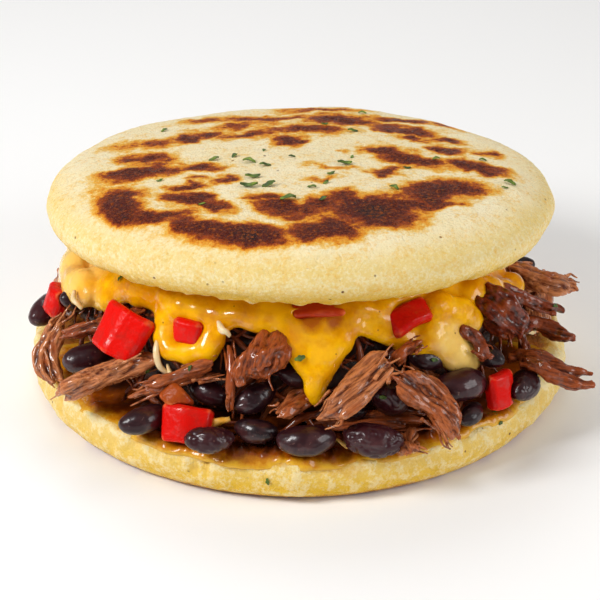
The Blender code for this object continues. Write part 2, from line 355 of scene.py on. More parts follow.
cake = {
    "fineness": 0.65 * mm,
    "cream": (0.94, 0.83, 0.58),
    "butter": (0.90, 0.74, 0.41),
    "sideCream": (0.88, 0.71, 0.34),
    "sideButter": (0.84, 0.61, 0.19),
    # painted shade: a deeper yellow for the shaded lower sides of both halves and the front of the lower half
    "golden": (0.82, 0.50, 0.015),
    "halo": (0.84, 0.50, 0.075),
    "orange": (0.74, 0.25, 0.006),
    "toast": (0.34, 0.050, 0.003),
    "char": (0.095, 0.008, 0.003),
    "coal": (0.022, 0.005, 0.006),
    "ember": (0.50, 0.11, 0.006),
    # each colour of a griddle mark, and the darkness at which it begins and is full
    "charStages": (("halo", 0.0, 0.26), ("orange", 0.2, 0.42), ("toast", 0.42, 0.58), ("char", 0.58, 0.8),
                   ("coal", 0.98, 1.2)),
    # how far red, green and blue light spread in the dough, for a reach of 1
    "glowReach": (1, 0.6, 0.25),
    # cracks and dents in the edges: azimuth, height, half width in degrees, half height in mm, depth in mm
    "upperDents": ((-33.5, 36, 1.5, 3, 2.4), (-31, 35, 3, 1.2, 1.5), (-12, 36.5, 2.5, 0.9, 0.8),
                   (14, 36.8, 3, 0.8, 0.9), (31, 36.2, 2, 1.2, 0.9), (52, 34, 2, 1, 0.8),
                   (41, 40, 1.5, 2.2, 0.5), (-58, 33, 3, 1, 0.8), (100, 29, 2, 2, 1), (160, 25, 3, 1.2, 1),
                   (-120, 27, 2, 2.2, 1.1), (-160, 25, 3, 1, 0.9)),
    "lowerDents": ((-19, 9.5, 0.9, 4, 1.3), (-21, 6, 1.2, 2, 0.8), (9.5, 10.4, 1.6, 2, 1),
                   (-35, 8.5, 1.5, 2, 0.8), (36, 9, 1.2, 2.5, 0.8), (62, 6, 1.6, 2.4, 0.8),
                   (-60, 7, 1.4, 2.5, 0.9), (110, 8, 1.4, 3, 1.1), (165, 6, 1.2, 3, 1.1),
                   (-105, 7, 1.5, 3, 1), (-150, 9, 1.2, 3, 1.1)),
    "tilt": math.radians(-7.5),
    "upperPlace": (0.4 * mm, 0, 39.4 * mm),
    "halfThickness": 6.75 * mm,
}

# Griddle marks on the upper half, in millimetres from its middle: x, y, half length, half width,
# turn in degrees, how dark (1 is black).
griddleMarks = (
    (-36.5, -25, 4.5, 9, 10, 0.95), (-36, -30, 4, 4.5, 0, 1.1), (-28, -33, 6, 3.6, 12, 0.9),
    (-33, 3, 5, 3.5, 0, 0.8), (-33, -6, 8, 3.8, 20, 0.95), (-21.5, -2.5, 4, 2.4, 15, 0.9),
    (-31, 14, 3, 3, 0, 0.6), (-24.5, 17, 4, 2.8, 25, 0.95), (-20, 21.5, 3.5, 2.8, 20, 0.8),
    (-11, 20, 5.5, 2.8, 10, 0.85), (1, 23, 8, 3.2, -5, 0.8), (-2.3, 14, 3.6, 3.2, 0, 0.95),
    (-23, -16.5, 3.4, 2.2, 20, 0.8), (-15, -12.5, 2.6, 2.2, 0, 0.8), (-20, -10.5, 2.6, 1.7, 20, 0.6),
    (-22, -24, 4.2, 3.2, -20, 0.95), (-18, -27.5, 4, 2.6, -30, 0.85), (-18.5, -39, 7, 4.2, -15, 0.95),
    (-10.5, -43, 6.5, 4.6, -8, 1.1), (-6, -23, 3, 2.6, 0, 0.8), (-4, -29, 4.5, 3.2, -10, 0.9),
    (1, -30.5, 4, 4, 0, 0.85), (4, -27, 3.5, 3.2, 10, 0.75), (1, -43, 5, 3, 0, 0.75),
    (9, -23, 4, 3.4, -15, 0.8), (11, -25.5, 3, 3, 0, 1.1), (14.5, -30.5, 7.5, 7, -15, 1.15),
    (20, -27, 5, 5, -10, 1), (5, -40, 5.5, 4.6, 10, 1), (29, -18, 7.5, 5, 25, 1.05),
    (26.5, -22, 3, 4, 0, 1.1), (27.5, -26.5, 4.5, 1.6, 25, 0.75), (17.5, 7, 4, 3.6, 0, 0.9),
    (24, 1.5, 6.5, 3.4, -35, 0.95), (18, -7, 3.2, 2.2, 10, 0.85), (20.5, -4, 2, 1.5, 0, 0.6),
    (31, 9.5, 3.6, 2.5, -20, 0.85), (37, -1.5, 6.5, 3.2, -30, 0.95), (40, 8, 3, 2.2, -20, 0.75),
    (40, -5, 2.8, 2.6, 0, 0.8), (9, 31.5, 7.5, 3.6, -5, 0.95), (22, 24.5, 7.5, 2.6, -22, 0.85),
    (24, 17.5, 4, 2, -15, 0.75), (32, 17.5, 3.6, 2, -15, 0.8), (23, 33, 6, 2, -20, 0.8),
    (7, -4.5, 5, 1.2, -8, 0.5), (4, -12, 2.8, 1.2, 0, 0.5), (8.5, 7, 1, 1.6, 0, 0.4),
    (36.8, -20, 1, 1.2, 0, 0.6), (-9, 33.5, 11, 2.4, 3, 0.7), (-37, 13, 4, 3.2, 45, 0.5),
    (-13.5, 27.5, 6.5, 2.2, 12, 0.65), (-22, 33, 5, 2, 25, 0.6), (5, 41, 9, 2, 0, 0.65),
    (33, 31, 4, 2, -40, 0.6),
)


def intoUpper(points):
    # from the object's frame into the upper half's own, which is tipped
    turn = np.array(Matrix.Rotation(-cake["tilt"], 3, "X"))
    return (points - np.array(cake["upperPlace"])) @ turn.T


def charOf(local):
    wander = noiseAt(local, 5 * mm, 2, 3)
    drift = noiseAt(local, 5 * mm, 9, 3)
    x = local[:, 0] / mm + wander * 2.6
    y = local[:, 1] / mm + drift * 2.6
    dark = np.zeros(len(local))
    for markX, markY, length, width, turn, strength in griddleMarks:
        angle = math.radians(turn)
        along = ((x - markX) * math.cos(angle) + (y - markY) * math.sin(angle)) / length
        across = ((y - markY) * math.cos(angle) - (x - markX) * math.sin(angle)) / width
        away = np.hypot(along, across)
        dark = np.maximum(dark, strength * (1 - smoothStep(away, 0.2, 2.05)))
    return dark * smoothStep(local[:, 2], 4.5 * mm, 7 * mm)


def remadeHalf(node, name):
    piece = copyNode(node, name)
    applyModifier(piece, "SUBSURF", levels=2, render_levels=2)
    remesh(piece, cake["fineness"], 4)
    return piece


def pressDents(piece, dents):
    points = pointsOf(piece)
    azimuth = azimuthOf(points)
    depth = np.zeros(len(points))
    for middle, height, wide, tall, deep in dents:
        apart = degreesFrom(azimuth, middle) / wide
        depth = np.maximum(depth, deep * np.exp(-(apart**2) - ((points[:, 2] / mm - height) / tall) ** 2))
    rim = smoothStep(reachOf(points), 46 * mm, 50 * mm)
    setPoints(piece, points - normalsOf(piece) * (depth * rim * mm)[:, None])


def upperHalf():
    piece = remadeHalf("top_cake", "upperHalf")
    local = intoUpper(pointsOf(piece))
    edge = smoothStep(reachOf(local), 38 * mm, 50 * mm)
    low = edge * smoothStep(-local[:, 2], 2 * mm, 5.5 * mm)
    roughen(piece, 16 * mm, 0.5 * mm, 1, 2, 0.5 + 0.5 * edge)
    roughen(piece, 3.6 * mm, 0.75 * mm, 5, 2, low)
    roughen(piece, 1.5 * mm, 0.1 * mm, 3, 2)
    pressDents(piece, cake["upperDents"])
    char = charOf(intoUpper(pointsOf(piece)))
    roughen(piece, 1.3 * mm, 0.2 * mm, 8, 1, smoothStep(char, 0.4, 0.9))
    local = intoUpper(pointsOf(piece))
    addAttribute(piece, "char", charOf(local))
    addAttribute(piece, "griddled", smoothStep(local[:, 2], 3 * mm, 7 * mm))
    # painted shade and painted bounce light: the upper half turns deeper yellow towards its underside
    addAttribute(piece, "golden", smoothStep(-local[:, 2], -2 * mm, 6 * mm))
    addAttribute(piece, "hollow", hollowness(piece, 4))
    return piece


def lowerHalf():
    piece = remadeHalf("bottom_cake", "lowerHalf")
    points = pointsOf(piece)
    side = smoothStep(reachOf(points), 50 * mm, 56 * mm)
    clear = smoothStep(points[:, 2], 0.5 * mm, 3 * mm)
    roughen(piece, 14 * mm, 0.6 * mm, 12, 2, side * clear)
    roughen(piece, 4 * mm, 0.45 * mm, 15, 2, clear * side)
    roughen(piece, 1.5 * mm, 0.12 * mm, 13, 2, clear)
    pressDents(piece, cake["lowerDents"])
    points = pointsOf(piece)
    reach = reachOf(points) / mm
    around = azimuthOf(points)
    front = np.exp(-((around / 62) ** 2))
    stainAndShade = noiseAt(points, 7 * mm, 21, 3) * 3.5
    upward = smoothStep(points[:, 2], 8 * mm, 9.3 * mm)
    soaked = 1 - smoothStep(reach + stainAndShade, 51 + 4.5 * front, 58 + 2.5 * front)
    drip = np.exp(-(((around - 9) / 5) ** 2)) + 0.5 * np.exp(-(((around + 20) / 2.5) ** 2))
    soaked = np.maximum(soaked * upward, 0.5 * drip * smoothStep(points[:, 2], 4 * mm, 9 * mm))
    addAttribute(piece, "soaked", soaked)
    addAttribute(piece, "toasted", smoothStep(-points[:, 2], -3.2 * mm, -0.8 * mm))
    addAttribute(piece, "griddled", 0)
    # painted shade: a little deeper yellow everywhere, more low on the side and at the front, most low at the
    # front
    rim = smoothStep(-points[:, 2], -10 * mm, -2 * mm)
    addAttribute(piece, "golden", 0.1 + 0.3 * rim + 0.3 * front + 0.3 * front * rim)
    addAttribute(piece, "hollow", hollowness(piece, 4))
    return piece


def cakeBase(tree, place):
    cloud = spread(tree, grain(tree, place, 9 * mm, 4, 0.6), 0.2, 0.8)
    side = blendColours(tree, cloud, cake["sideButter"], cake["sideCream"])
    top = blendColours(tree, cloud, cake["butter"], cake["cream"])
    base = blendColours(tree, attributeOf(tree, "griddled"), side, top)
    # painted shade: the deeper yellow where the golden attribute is high
    base = blendColours(tree, attributeOf(tree, "golden"), base, cake["golden"])
    # the crumb's own fine grain, plus hollowness: browner in furrows is painted shade, paler on ridges is
    # painted highlight
    fine = calc(tree, "ADD", grain(tree, place, 0.6 * mm, 3, 0.7),
                calc(tree, "MULTIPLY", attributeOf(tree, "hollow"), 1.6))
    base = tint(tree, base, fine, 0.55, 1.0, (0.74, 0.42, 0.08), 0.5)
    base = tint(tree, base, fine, 0.45, 0.25, (0.97, 0.92, 0.68), 0.4)
    dots = scatteredDots(tree, place, 3.1 * mm, (0.06, 0.12), 1, 7 * mm, (0.54, 0.6))
    return blendColours(tree, dots, base, (0.16, 0.05, 0.015))


def cakeBump(tree, place):
    fine = grain(tree, place, 0.55 * mm, 3, 0.7)
    pits = cellsOf(tree, place, 0.9 * mm)
    return bump(tree, pits, 0.14 * mm, 0.6, bump(tree, fine, 0.42 * mm, 0.9))


def moistGrain(tree, place):
    # small wet grains among drier ones
    return spread(tree, grain(tree, place, 0.45 * mm, 2), 0.42, 0.66, 0.68, 0.2)


def upperFinish():
    material, tree, shader = newMaterial("griddledCornCake")
    place = objectPlace(tree)
    base = cakeBase(tree, place)
    rough = grain(tree, place, 1.1 * mm, 4, 0.75)
    broad = grain(tree, place, 4 * mm, 3, 0.6)
    edge = calc(tree, "ADD", swing(tree, rough, 0.85), swing(tree, broad, 0.5))
    char = calc(tree, "ADD", attributeOf(tree, "char"), edge)
    for colour, low, high in cake["charStages"]:
        base = tint(tree, base, char, low, high, cake[colour])
    # crisp high grains of the crust catch an orange tone again
    crisp = grain(tree, place, 0.7 * mm, 3, 0.7)
    burnt = spread(tree, char, 0.5, 0.7)
    embers = calc(tree, "MULTIPLY", burnt, spread(tree, crisp, 0.5, 0.68, 0, 0.75))
    base = blendColours(tree, embers, base, cake["ember"])
    normal = bump(tree, rough, 0.4 * mm, spread(tree, char, 0.4, 0.7, 0.15, 0.9), cakeBump(tree, place))
    normal = bump(tree, crisp, 0.3 * mm, spread(tree, char, 0.4, 0.7, 0.05, 0.8), normal)
    dress(tree, shader, Base_Color=base, Normal=normal, Subsurface_Weight=0.05, Subsurface_Scale=1 * mm,
          Roughness=calc(tree, "MULTIPLY", spread(tree, char, 0.4, 0.8, 1, 0.6), moistGrain(tree, place)),
          Specular_IOR_Level=0.17, Subsurface_Radius=cake["glowReach"])
    return material


def lowerFinish():
    material, tree, shader = newMaterial("cornCake")
    place = objectPlace(tree)
    base = cakeBase(tree, place)
    rough = grain(tree, place, 1.6 * mm, 4, 0.7)
    soaked = calc(tree, "ADD", attributeOf(tree, "soaked"), swing(tree, rough))
    base = tint(tree, base, soaked, 0.15, 0.6, (0.74, 0.40, 0.045))
    base = tint(tree, base, soaked, 0.6, 1.0, (0.44, 0.13, 0.012))
    cloud = swing(tree, grain(tree, place, 5 * mm, 4, 0.7), 1.6)
    toasted = calc(tree, "ADD", attributeOf(tree, "toasted"), cloud)
    base = tint(tree, base, toasted, 0.45, 1.1, (0.60, 0.26, 0.03), 0.85)
    crisp = calc(tree, "ADD", toasted, grain(tree, place, 1.4 * mm, 3, 0.7))
    base = tint(tree, base, crisp, 1.35, 1.7, (0.26, 0.06, 0.012), 0.9)
    dress(tree, shader, Base_Color=base, Normal=cakeBump(tree, place), Subsurface_Weight=0.1,
          Roughness=calc(tree, "MULTIPLY", spread(tree, soaked, 0.3, 0.8, 1, 0.4), moistGrain(tree, place)),
          Subsurface_Scale=1.5 * mm, Specular_IOR_Level=0.26, Subsurface_Radius=cake["glowReach"])
    return material


upper = finishPiece(upperHalf(), upperFinish(), "corn_cake_upper", "top_cake")
lower = finishPiece(lowerHalf(), lowerFinish(), "corn_cake_lower", "bottom_cake")
print("two halves ready")


cheese = {
    "fineness": 0.5 * mm,
    # thick folds: azimuth from the front, reach and height of the middle, half width, depth and height in mm
    "folds": ((-99, 46, 25.6, 7.5, 2.6, 4.6), (-91, 47.6, 24.4, 7.5, 2.8, 5.4),
              (-86, 49.2, 22.6, 5.5, 2.4, 4.6), (-82, 48.2, 25.6, 7, 2.8, 5),
              (-75, 48.6, 25.4, 6, 2.6, 4.2), (-69, 48, 26.8, 5.4, 2.4, 4), (-75, 45.8, 23.8, 4, 2.4, 3.6),
              (-70, 44.3, 27.4, 4.6, 2.6, 3.6), (-61, 44.3, 28.2, 4.6, 2.4, 4),
              (-65, 45.2, 25.6, 3.4, 2.2, 2.6), (-56, 43, 30.4, 4, 2.2, 3), (-50, 42.6, 31.4, 4.4, 2, 3),
              (-44, 42.6, 32, 4.2, 2, 2.6), (-37.5, 42.6, 33, 3.6, 2.4, 3),
              (-33, 42.8, 33.2, 3.6, 2.8, 3.4), (-28.5, 42.6, 33, 3.4, 2.2, 3),
              (-37.4, 44, 29.6, 2.8, 2.4, 3.2), (-36, 45.4, 26.6, 3, 2.8, 3),
              (-32.5, 46.4, 24.9, 4.2, 2.8, 2.6), (-28, 46.4, 25.2, 3.6, 2.8, 2.8),
              (-28.4, 44.6, 28.4, 3, 1.6, 3), (-23.2, 45.8, 26.6, 2.8, 2.6, 3.4),
              (-21.4, 44.8, 28.6, 2.4, 2, 2.6), (-21, 42.6, 33, 4.2, 2, 2.6), (-16, 42.4, 33.6, 4, 2, 2.6),
              (-11, 42.8, 33, 4, 2, 2.6), (-6, 42.6, 33.2, 4.2, 2, 3), (-3.5, 43.4, 31.2, 3.4, 1.8, 3.4),
              (0.4, 44.1, 30, 4, 1.8, 4), (5, 43.4, 31.4, 4, 1.8, 3.4), (11, 42.8, 32.6, 4.2, 1.8, 3.4),
              (17.5, 42, 34.4, 3.4, 2.2, 2.6), (13.7, 43.2, 32.4, 3, 2.2, 3),
              (10.3, 44.6, 29.8, 3.2, 2.4, 3.2), (6.8, 46, 27, 3.4, 2.4, 3.2),
              (4.4, 47.3, 24.2, 3.2, 2.3, 3), (3.6, 48.3, 21.6, 2.4, 2, 2.6),
              (3.8, 48.8, 19.8, 1.6, 1.6, 2.2), (21, 42.6, 33.2, 3, 2, 2.8),
              (24.5, 43.8, 30.6, 3.4, 2.2, 3), (28, 45, 28, 3.4, 2.4, 3), (31.5, 46, 26.4, 3.2, 2.4, 2.8),
              (35.7, 47, 27.6, 4.4, 2.6, 3.8), (39.5, 48, 24.8, 5, 2.8, 3.8),
              (41.5, 49.2, 22.4, 4.6, 2.8, 3.2), (43.5, 49.6, 20.4, 3.4, 2.2, 2.4),
              (39, 45, 32.4, 4, 3, 3.4), (43.5, 46.4, 30.4, 4.4, 3.2, 3.4), (47, 46.8, 27.6, 3.8, 3, 3.2),
              (44, 46.6, 26, 3.4, 2.6, 3), (54, 44.4, 31, 4.4, 2.6, 3.6), (60, 45.8, 28.8, 4.4, 2.6, 3.6),
              (66, 46.4, 27, 3.6, 2.4, 3.2), (57, 47.4, 26.2, 3.8, 2.4, 2.6), (72, 47, 26, 3.8, 2.4, 3),
              (90, 44.6, 26.5, 5, 2.4, 2.8), (112, 45.2, 21.5, 4.4, 2.2, 3), (119, 46, 19.8, 4, 2.4, 2.8),
              (126, 44.6, 21.8, 3.6, 2.2, 2.6), (155, 45, 18.6, 4.4, 2.2, 2.4),
              (163, 45.6, 17.6, 4.2, 2.2, 2.2), (188, 43.4, 20.6, 5, 2, 2), (215, 43.6, 21, 4.4, 2, 2.2),
              (236, 45.4, 19.4, 4.2, 2.4, 2.8), (243, 46.4, 17.8, 4, 2.4, 2.6),
              (250, 45, 20.6, 3.4, 2.2, 2.6), (268, 43.6, 25, 4.4, 2, 2.4)),
    # azimuth, height, spread in mm, how strong
    "palePatches": ((-86, 25, 11, 0.85), (-71, 28, 5, 0.6), (-64, 26, 4, 0.35), (38, 27, 4, 0.6),
                    (41.5, 22.5, 6, 0.7), (58, 27, 6, 0.1), (118, 20, 5, 0.6), (240, 19, 5, 0.4)),
    # painted shade where the cheese lies under the upper half, and one spot at the back: azimuth, height,
    # spread in mm, how strong
    "shadeSpots": ((3.3, 35, 3.4, 1), (9, 34.6, 2.6, 0.8), (-14, 33.5, 5, 0.5), (-2, 32.5, 4, 0.4),
               (-52, 30, 3, 0.4), (24, 33, 2.5, 0.5), (180, 20, 8, 0.4)),
    "deep": (0.70, 0.27, 0.0005),
    "bright": (0.90, 0.46, 0.0005),
    "pale": (0.88, 0.64, 0.21),
    # the colour of the painted shade spots
    "stainAndShade": (0.42, 0.085, 0.008),
}


def underUpper(y):
    # height of the upper half's flat underside
    half = cake["halfThickness"]
    along = y - half * math.sin(cake["tilt"])
    return cake["upperPlace"][2] - half * math.cos(cake["tilt"]) + math.tan(cake["tilt"]) * along


def roundPlace(azimuth, reach, height):
    angle = math.radians(azimuth)
    return Vector((reach * mm * math.sin(angle), -reach * mm * math.cos(angle), height * mm))


def cheeseFold(azimuth, reach, height, wide, deep, tall):
    bpy.ops.object.select_all(action="DESELECT")
    turn = (math.radians(-24), 0, math.radians(azimuth))
    bpy.ops.mesh.primitive_uv_sphere_add(segments=20, ring_count=14, radius=1, rotation=turn,
                                         location=roundPlace(azimuth, reach, height),
                                         scale=(wide * mm, deep * mm, tall * mm))
    bpy.ops.object.transform_apply(location=True, rotation=True, scale=True)
    return bpy.context.object


def spotsOn(points, spots):
    # how much each point lies in the listed places round the side
    azimuth = azimuthOf(points)
    found = np.zeros(len(points))
    for middle, height, size, strength in spots:
        apart = degreesFrom(azimuth, middle) * 0.8
        away = np.hypot(apart, points[:, 2] / mm - height) / size
        found = np.maximum(found, strength * (1 - smoothStep(away, 0.3, 1.3)))
    return found


def meltedCheese():
    draped = copyNode("cheese", "cheeseDrape")
    piece = joinPieces([draped] + [cheeseFold(*fold) for fold in cheese["folds"]], "meltedCheese")
    remesh(piece, cheese["fineness"], 16)
    roughen(piece, 8 * mm, 0.7 * mm, 31, 1)
    roughen(piece, 2.6 * mm, 0.1 * mm, 33, 2)
    applyModifier(piece, "SMOOTH", factor=0.5, iterations=3)
    points = pointsOf(piece)
    addAttribute(piece, "hollow", hollowness(piece, 14))
    addAttribute(piece, "paleness", spotsOn(points, cheese["palePatches"]))
    # painted shade spots as a point attribute
    addAttribute(piece, "stainAndShade", spotsOn(points, cheese["shadeSpots"]))
    return piece


def cheeseFinish():
    material, tree, shader = newMaterial("meltedCheese")
    place = objectPlace(tree)
    cloud = grain(tree, place, 5 * mm, 3, 0.6)
    base = ramp(tree, cloud, [(0.35, cheese["deep"]), (0.6, cheese["bright"])])
    # painted shade: darker orange in the cheese's folds and hollows
    base = tint(tree, base, attributeOf(tree, "hollow"), 0.05, 0.5, (0.50, 0.15, 0.002), 0.8)
    base = tint(tree, base, grain(tree, place, 4 * mm, 4, 0.65), 0.66, 0.72, cheese["pale"], 0.3)
    base = blendColours(tree, attributeOf(tree, "paleness"), base, cheese["pale"])
    ragged = swing(tree, grain(tree, place, 2.5 * mm, 3, 0.6))
    # painted shade from those spots, with ragged edges
    stainAndShade = calc(tree, "ADD", attributeOf(tree, "stainAndShade"), ragged)
    base = tint(tree, base, stainAndShade, 0.3, 0.8, cheese["stainAndShade"], 0.9)
    dots = scatteredDots(tree, place, 2.6 * mm, (0.05, 0.10), 0.8, 6 * mm, (0.5, 0.58))
    base = blendColours(tree, dots, base, (0.16, 0.04, 0.005))
    wave = bump(tree, grain(tree, place, 3 * mm, 2), 0.4 * mm, 0.7)
    normal = bump(tree, grain(tree, place, 0.8 * mm, 2), 0.1 * mm, 0.6, wave)
    gloss = spread(tree, grain(tree, place, 3.5 * mm, 2), 0.46, 0.56, 0, 1)
    dress(tree, shader, Base_Color=base, Normal=normal, Roughness=spread(tree, cloud, 0.3, 0.7, 0.2, 0.34),
          Subsurface_Weight=0.08, Subsurface_Scale=1.2 * mm, Specular_IOR_Level=0.1, Coat_Weight=gloss,
          Coat_Roughness=0.06, Subsurface_Radius=(1, 0.45, 0.05))
    return material


fillingPieces = [finishPiece(meltedCheese(), cheeseFinish(), "melted_cheese", "cheese")]
print("cheese ready")

beans = {
    "levels": 3,
    # depth of the folds in a bean's skin, in mm
    "wrinkled": {"bean_05": 0.42, "bean_02": 0.24, "bean_13": 0.34, "bean_12": 0.16, "bean_08": 0.2,
                 "bean_06": 0.16},
    "plainFold": 0.06,
    # more of them round the back: how many, from where and how far round in degrees
    "heapCount": 30,
    "heapFrom": 108,
    "heapTurn": 144,
    # they are copies of this many of the first beans, taken in steps
    "models": 19,
    "modelStep": 7,
    "seed": 5,
}


def rangeOf(kind):
    return sorted(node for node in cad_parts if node.startswith(kind))


def beanTone(number):
    # a tone from 0 to 1, unlike that of the bean before
    return (number * 0.37) % 1


def cookedBean(node):
    piece = copyNode(node, "cooked_" + node)
    applyModifier(piece, "SUBSURF", levels=beans["levels"], render_levels=beans["levels"])
    number = int(node[-2:])
    roughen(piece, 4 * mm, 0.32 * mm, number, 1)
    points = pointsOf(piece)
    fold = 1 - np.abs(noiseAt(points, 2.4 * mm, number + 3, 2)) * 3.2
    depth = beans["wrinkled"].get(node, beans["plainFold"]) * mm
    setPoints(piece, points - normalsOf(piece) * (np.clip(fold, 0, 1) * depth)[:, None])
    addAttribute(piece, "tone", beanTone(number))
    return piece


# the slope of the filling, in mm: its foot's height and reach, how far it leans in, its top's
# reach and how far that stays below the upper half
heap = {"foot": 13.4, "reach": 52.5, "lean": 7, "topReach": 44, "gap": 5}


def heapPlace(dice, azimuth, level, inset=0.0):
    # a place on the heap's slope: level 0 is at the cut face, 1 is under the cheese
    outY = -math.cos(math.radians(azimuth))
    ceiling = underUpper(heap["topReach"] * mm * outY) / mm - heap["gap"]
    height = heap["foot"] + level * (ceiling - heap["foot"])
    return roundPlace(azimuth, heap["reach"] - heap["lean"] * level - inset + dice.uniform(-1, 1), height)


def placedCopy(model, name, turn, place, size):
    # a copy with its own mesh, turned about its own middle and set down at its place
    piece = model.copy()
    piece.data = model.data.copy()
    piece.name = name
    bpy.context.scene.collection.objects.link(piece)
    points = pointsOf(piece)
    points -= (points.max(0) + points.min(0)) / 2
    setPoints(piece, points @ np.array(turn).T * size + np.array(place))
    return piece


def turned(aroundZ, aroundY):
    return Matrix.Rotation(aroundZ, 3, "Z") @ Matrix.Rotation(aroundY, 3, "Y")


def allBeans():
    cooked = [cookedBean(node) for node in rangeOf("bean")]
    dice = random.Random(beans["seed"])
    extra = []
    for number in range(beans["heapCount"]):
        azimuth = beans["heapFrom"] + number * beans["heapTurn"] / beans["heapCount"] + dice.uniform(-3, 3)
        place = heapPlace(dice, azimuth, (number % 3) * 0.42 + dice.uniform(-0.08, 0.12), 1.2)
        turn = turned(math.radians(azimuth + dice.uniform(-60, 60)), dice.uniform(-0.6, 0.6))
        model = cooked[(number * beans["modelStep"]) % beans["models"]]
        piece = placedCopy(model, "heapBean", turn, place, 0.84 + 0.2 * ((number * 0.61) % 1))
        tone = np.full(len(piece.data.vertices), beanTone(number), np.float32)
        piece.data.attributes["tone"].data.foreach_set("value", tone)
        extra.append(piece)
    return joinPieces(cooked, "blackBeans"), joinPieces(extra, "heapBeans")


def beanFinish():
    material, tree, shader = newMaterial("blackBeanSkin")
    place = objectPlace(tree)
    tone = attributeOf(tree, "tone")
    dark = ramp(tree, tone, [(0.1, (0.012, 0.003, 0.005)), (0.9, (0.038, 0.006, 0.009))])
    patch = grain(tree, place, 3 * mm, 3, 0.6)
    colour = tint(tree, dark, patch, 0.5, 0.75, (0.085, 0.022, 0.022), 0.7)
    colour = tint(tree, colour, grain(tree, place, 0.9 * mm, 2), 0.68, 0.74, (0.20, 0.10, 0.08), 0.5)
    fine = bump(tree, grain(tree, place, 0.5 * mm, 3), 0.06 * mm, 0.6)
    normal = bump(tree, grain(tree, place, 1.6 * mm, 2), 0.18 * mm, 0.6, fine)
    dress(tree, shader, Base_Color=colour, Normal=normal, Roughness=spread(tree, patch, 0.3, 0.7, 0.28, 0.42),
          Coat_Weight=spread(tree, patch, 0.35, 0.6, 0.1, 0.6), Coat_Roughness=0.07, Specular_IOR_Level=0.25)
    return material


beanSkin = beanFinish()
blackBeans, heapBeans = allBeans()
fillingPieces.append(finishPiece(blackBeans, beanSkin, "bean_skin", *rangeOf("bean")))
fillingPieces.append(finishPiece(heapBeans, beanSkin, "bean_skin"))
print("beans ready")

peppers = {
    "fineness": 0.32 * mm,
    # 0 is orange-brown and cooked, 1 is bright red
    "tones": {"pepper_01": 0.9, "pepper_02": 0.8, "pepper_04": 0.0, "pepper_08": 0.35, "pepper_05": 0.6},
    "usualTone": 0.75,
    # more of them round the sides and back: azimuth, level up the heap, which to copy, turn in degrees
    "more": ((121, 0.1, 2, 20), (128, 0.75, 0, 60), (132, 0.05, 2, -30), (148, 0.6, 1, 80), (172, 0.1, 0, 10),
             (197, 0.55, 2, 45), (219, 0.1, 1, -20), (243, 0.15, 2, 70), (250, 0.7, 0, 15)),
}


def pepperPiece(node):
    piece = copyNode(node, "cut_" + node)
    remesh(piece, peppers["fineness"], 1)
    number = int(node[-2:])
    roughen(piece, 5 * mm, 0.3 * mm, number + 40, 1)
    roughen(piece, 0.9 * mm, 0.04 * mm, number + 60, 1)
    addAttribute(piece, "tone", peppers["tones"].get(node, peppers["usualTone"]))
    addAttribute(piece, "hollow", hollowness(piece, 10))
    return piece


def allPeppers():
    dice = random.Random(3)
    cut = [pepperPiece(node) for node in rangeOf("pepper")]
    more = []
    for azimuth, level, which, turn in peppers["more"]:
        way = turned(math.radians(azimuth + turn), 0.3)
        more.append(placedCopy(cut[which], "morePepper", way, heapPlace(dice, azimuth, level), 0.8))
    return joinPieces(cut + more, "redPepper")


def pepperFinish():
    material, tree, shader = newMaterial("redPepper")
    place = objectPlace(tree)
    tone = attributeOf(tree, "tone")
    base = ramp(tree, tone, [(0.0, (0.34, 0.06, 0.008)), (0.35, (0.55, 0.05, 0.01)),
                             (0.6, (0.55, 0.006, 0.003)), (0.85, (0.74, 0.006, 0.003))])
    patch = grain(tree, place, 3.2 * mm, 2, 0.6)
    base = tint(tree, base, patch, 0.5, 0.75, (0.42, 0.012, 0.003), 0.6)
    edge = calc(tree, "MULTIPLY", attributeOf(tree, "hollow"), -1)
    base = tint(tree, base, edge, 0.18, 0.36, (0.85, 0.20, 0.06), 0.8)
    normal = bump(tree, grain(tree, place, 1.1 * mm, 3), 0.22 * mm, 0.7)
    dress(tree, shader, Base_Color=base, Normal=normal, Roughness=spread(tree, patch, 0.3, 0.7, 0.22, 0.4),
          Specular_IOR_Level=0.1, Coat_Weight=spread(tree, patch, 0.5, 0.62, 0, 0.4), Coat_Roughness=0.08,
          Subsurface_Weight=0.04, Subsurface_Scale=1 * mm, Subsurface_Radius=(1, 0.2, 0.1))
    return material


finishPiece(allPeppers(), pepperFinish(), "pepper_flesh", *rangeOf("pepper"))
print("peppers ready")

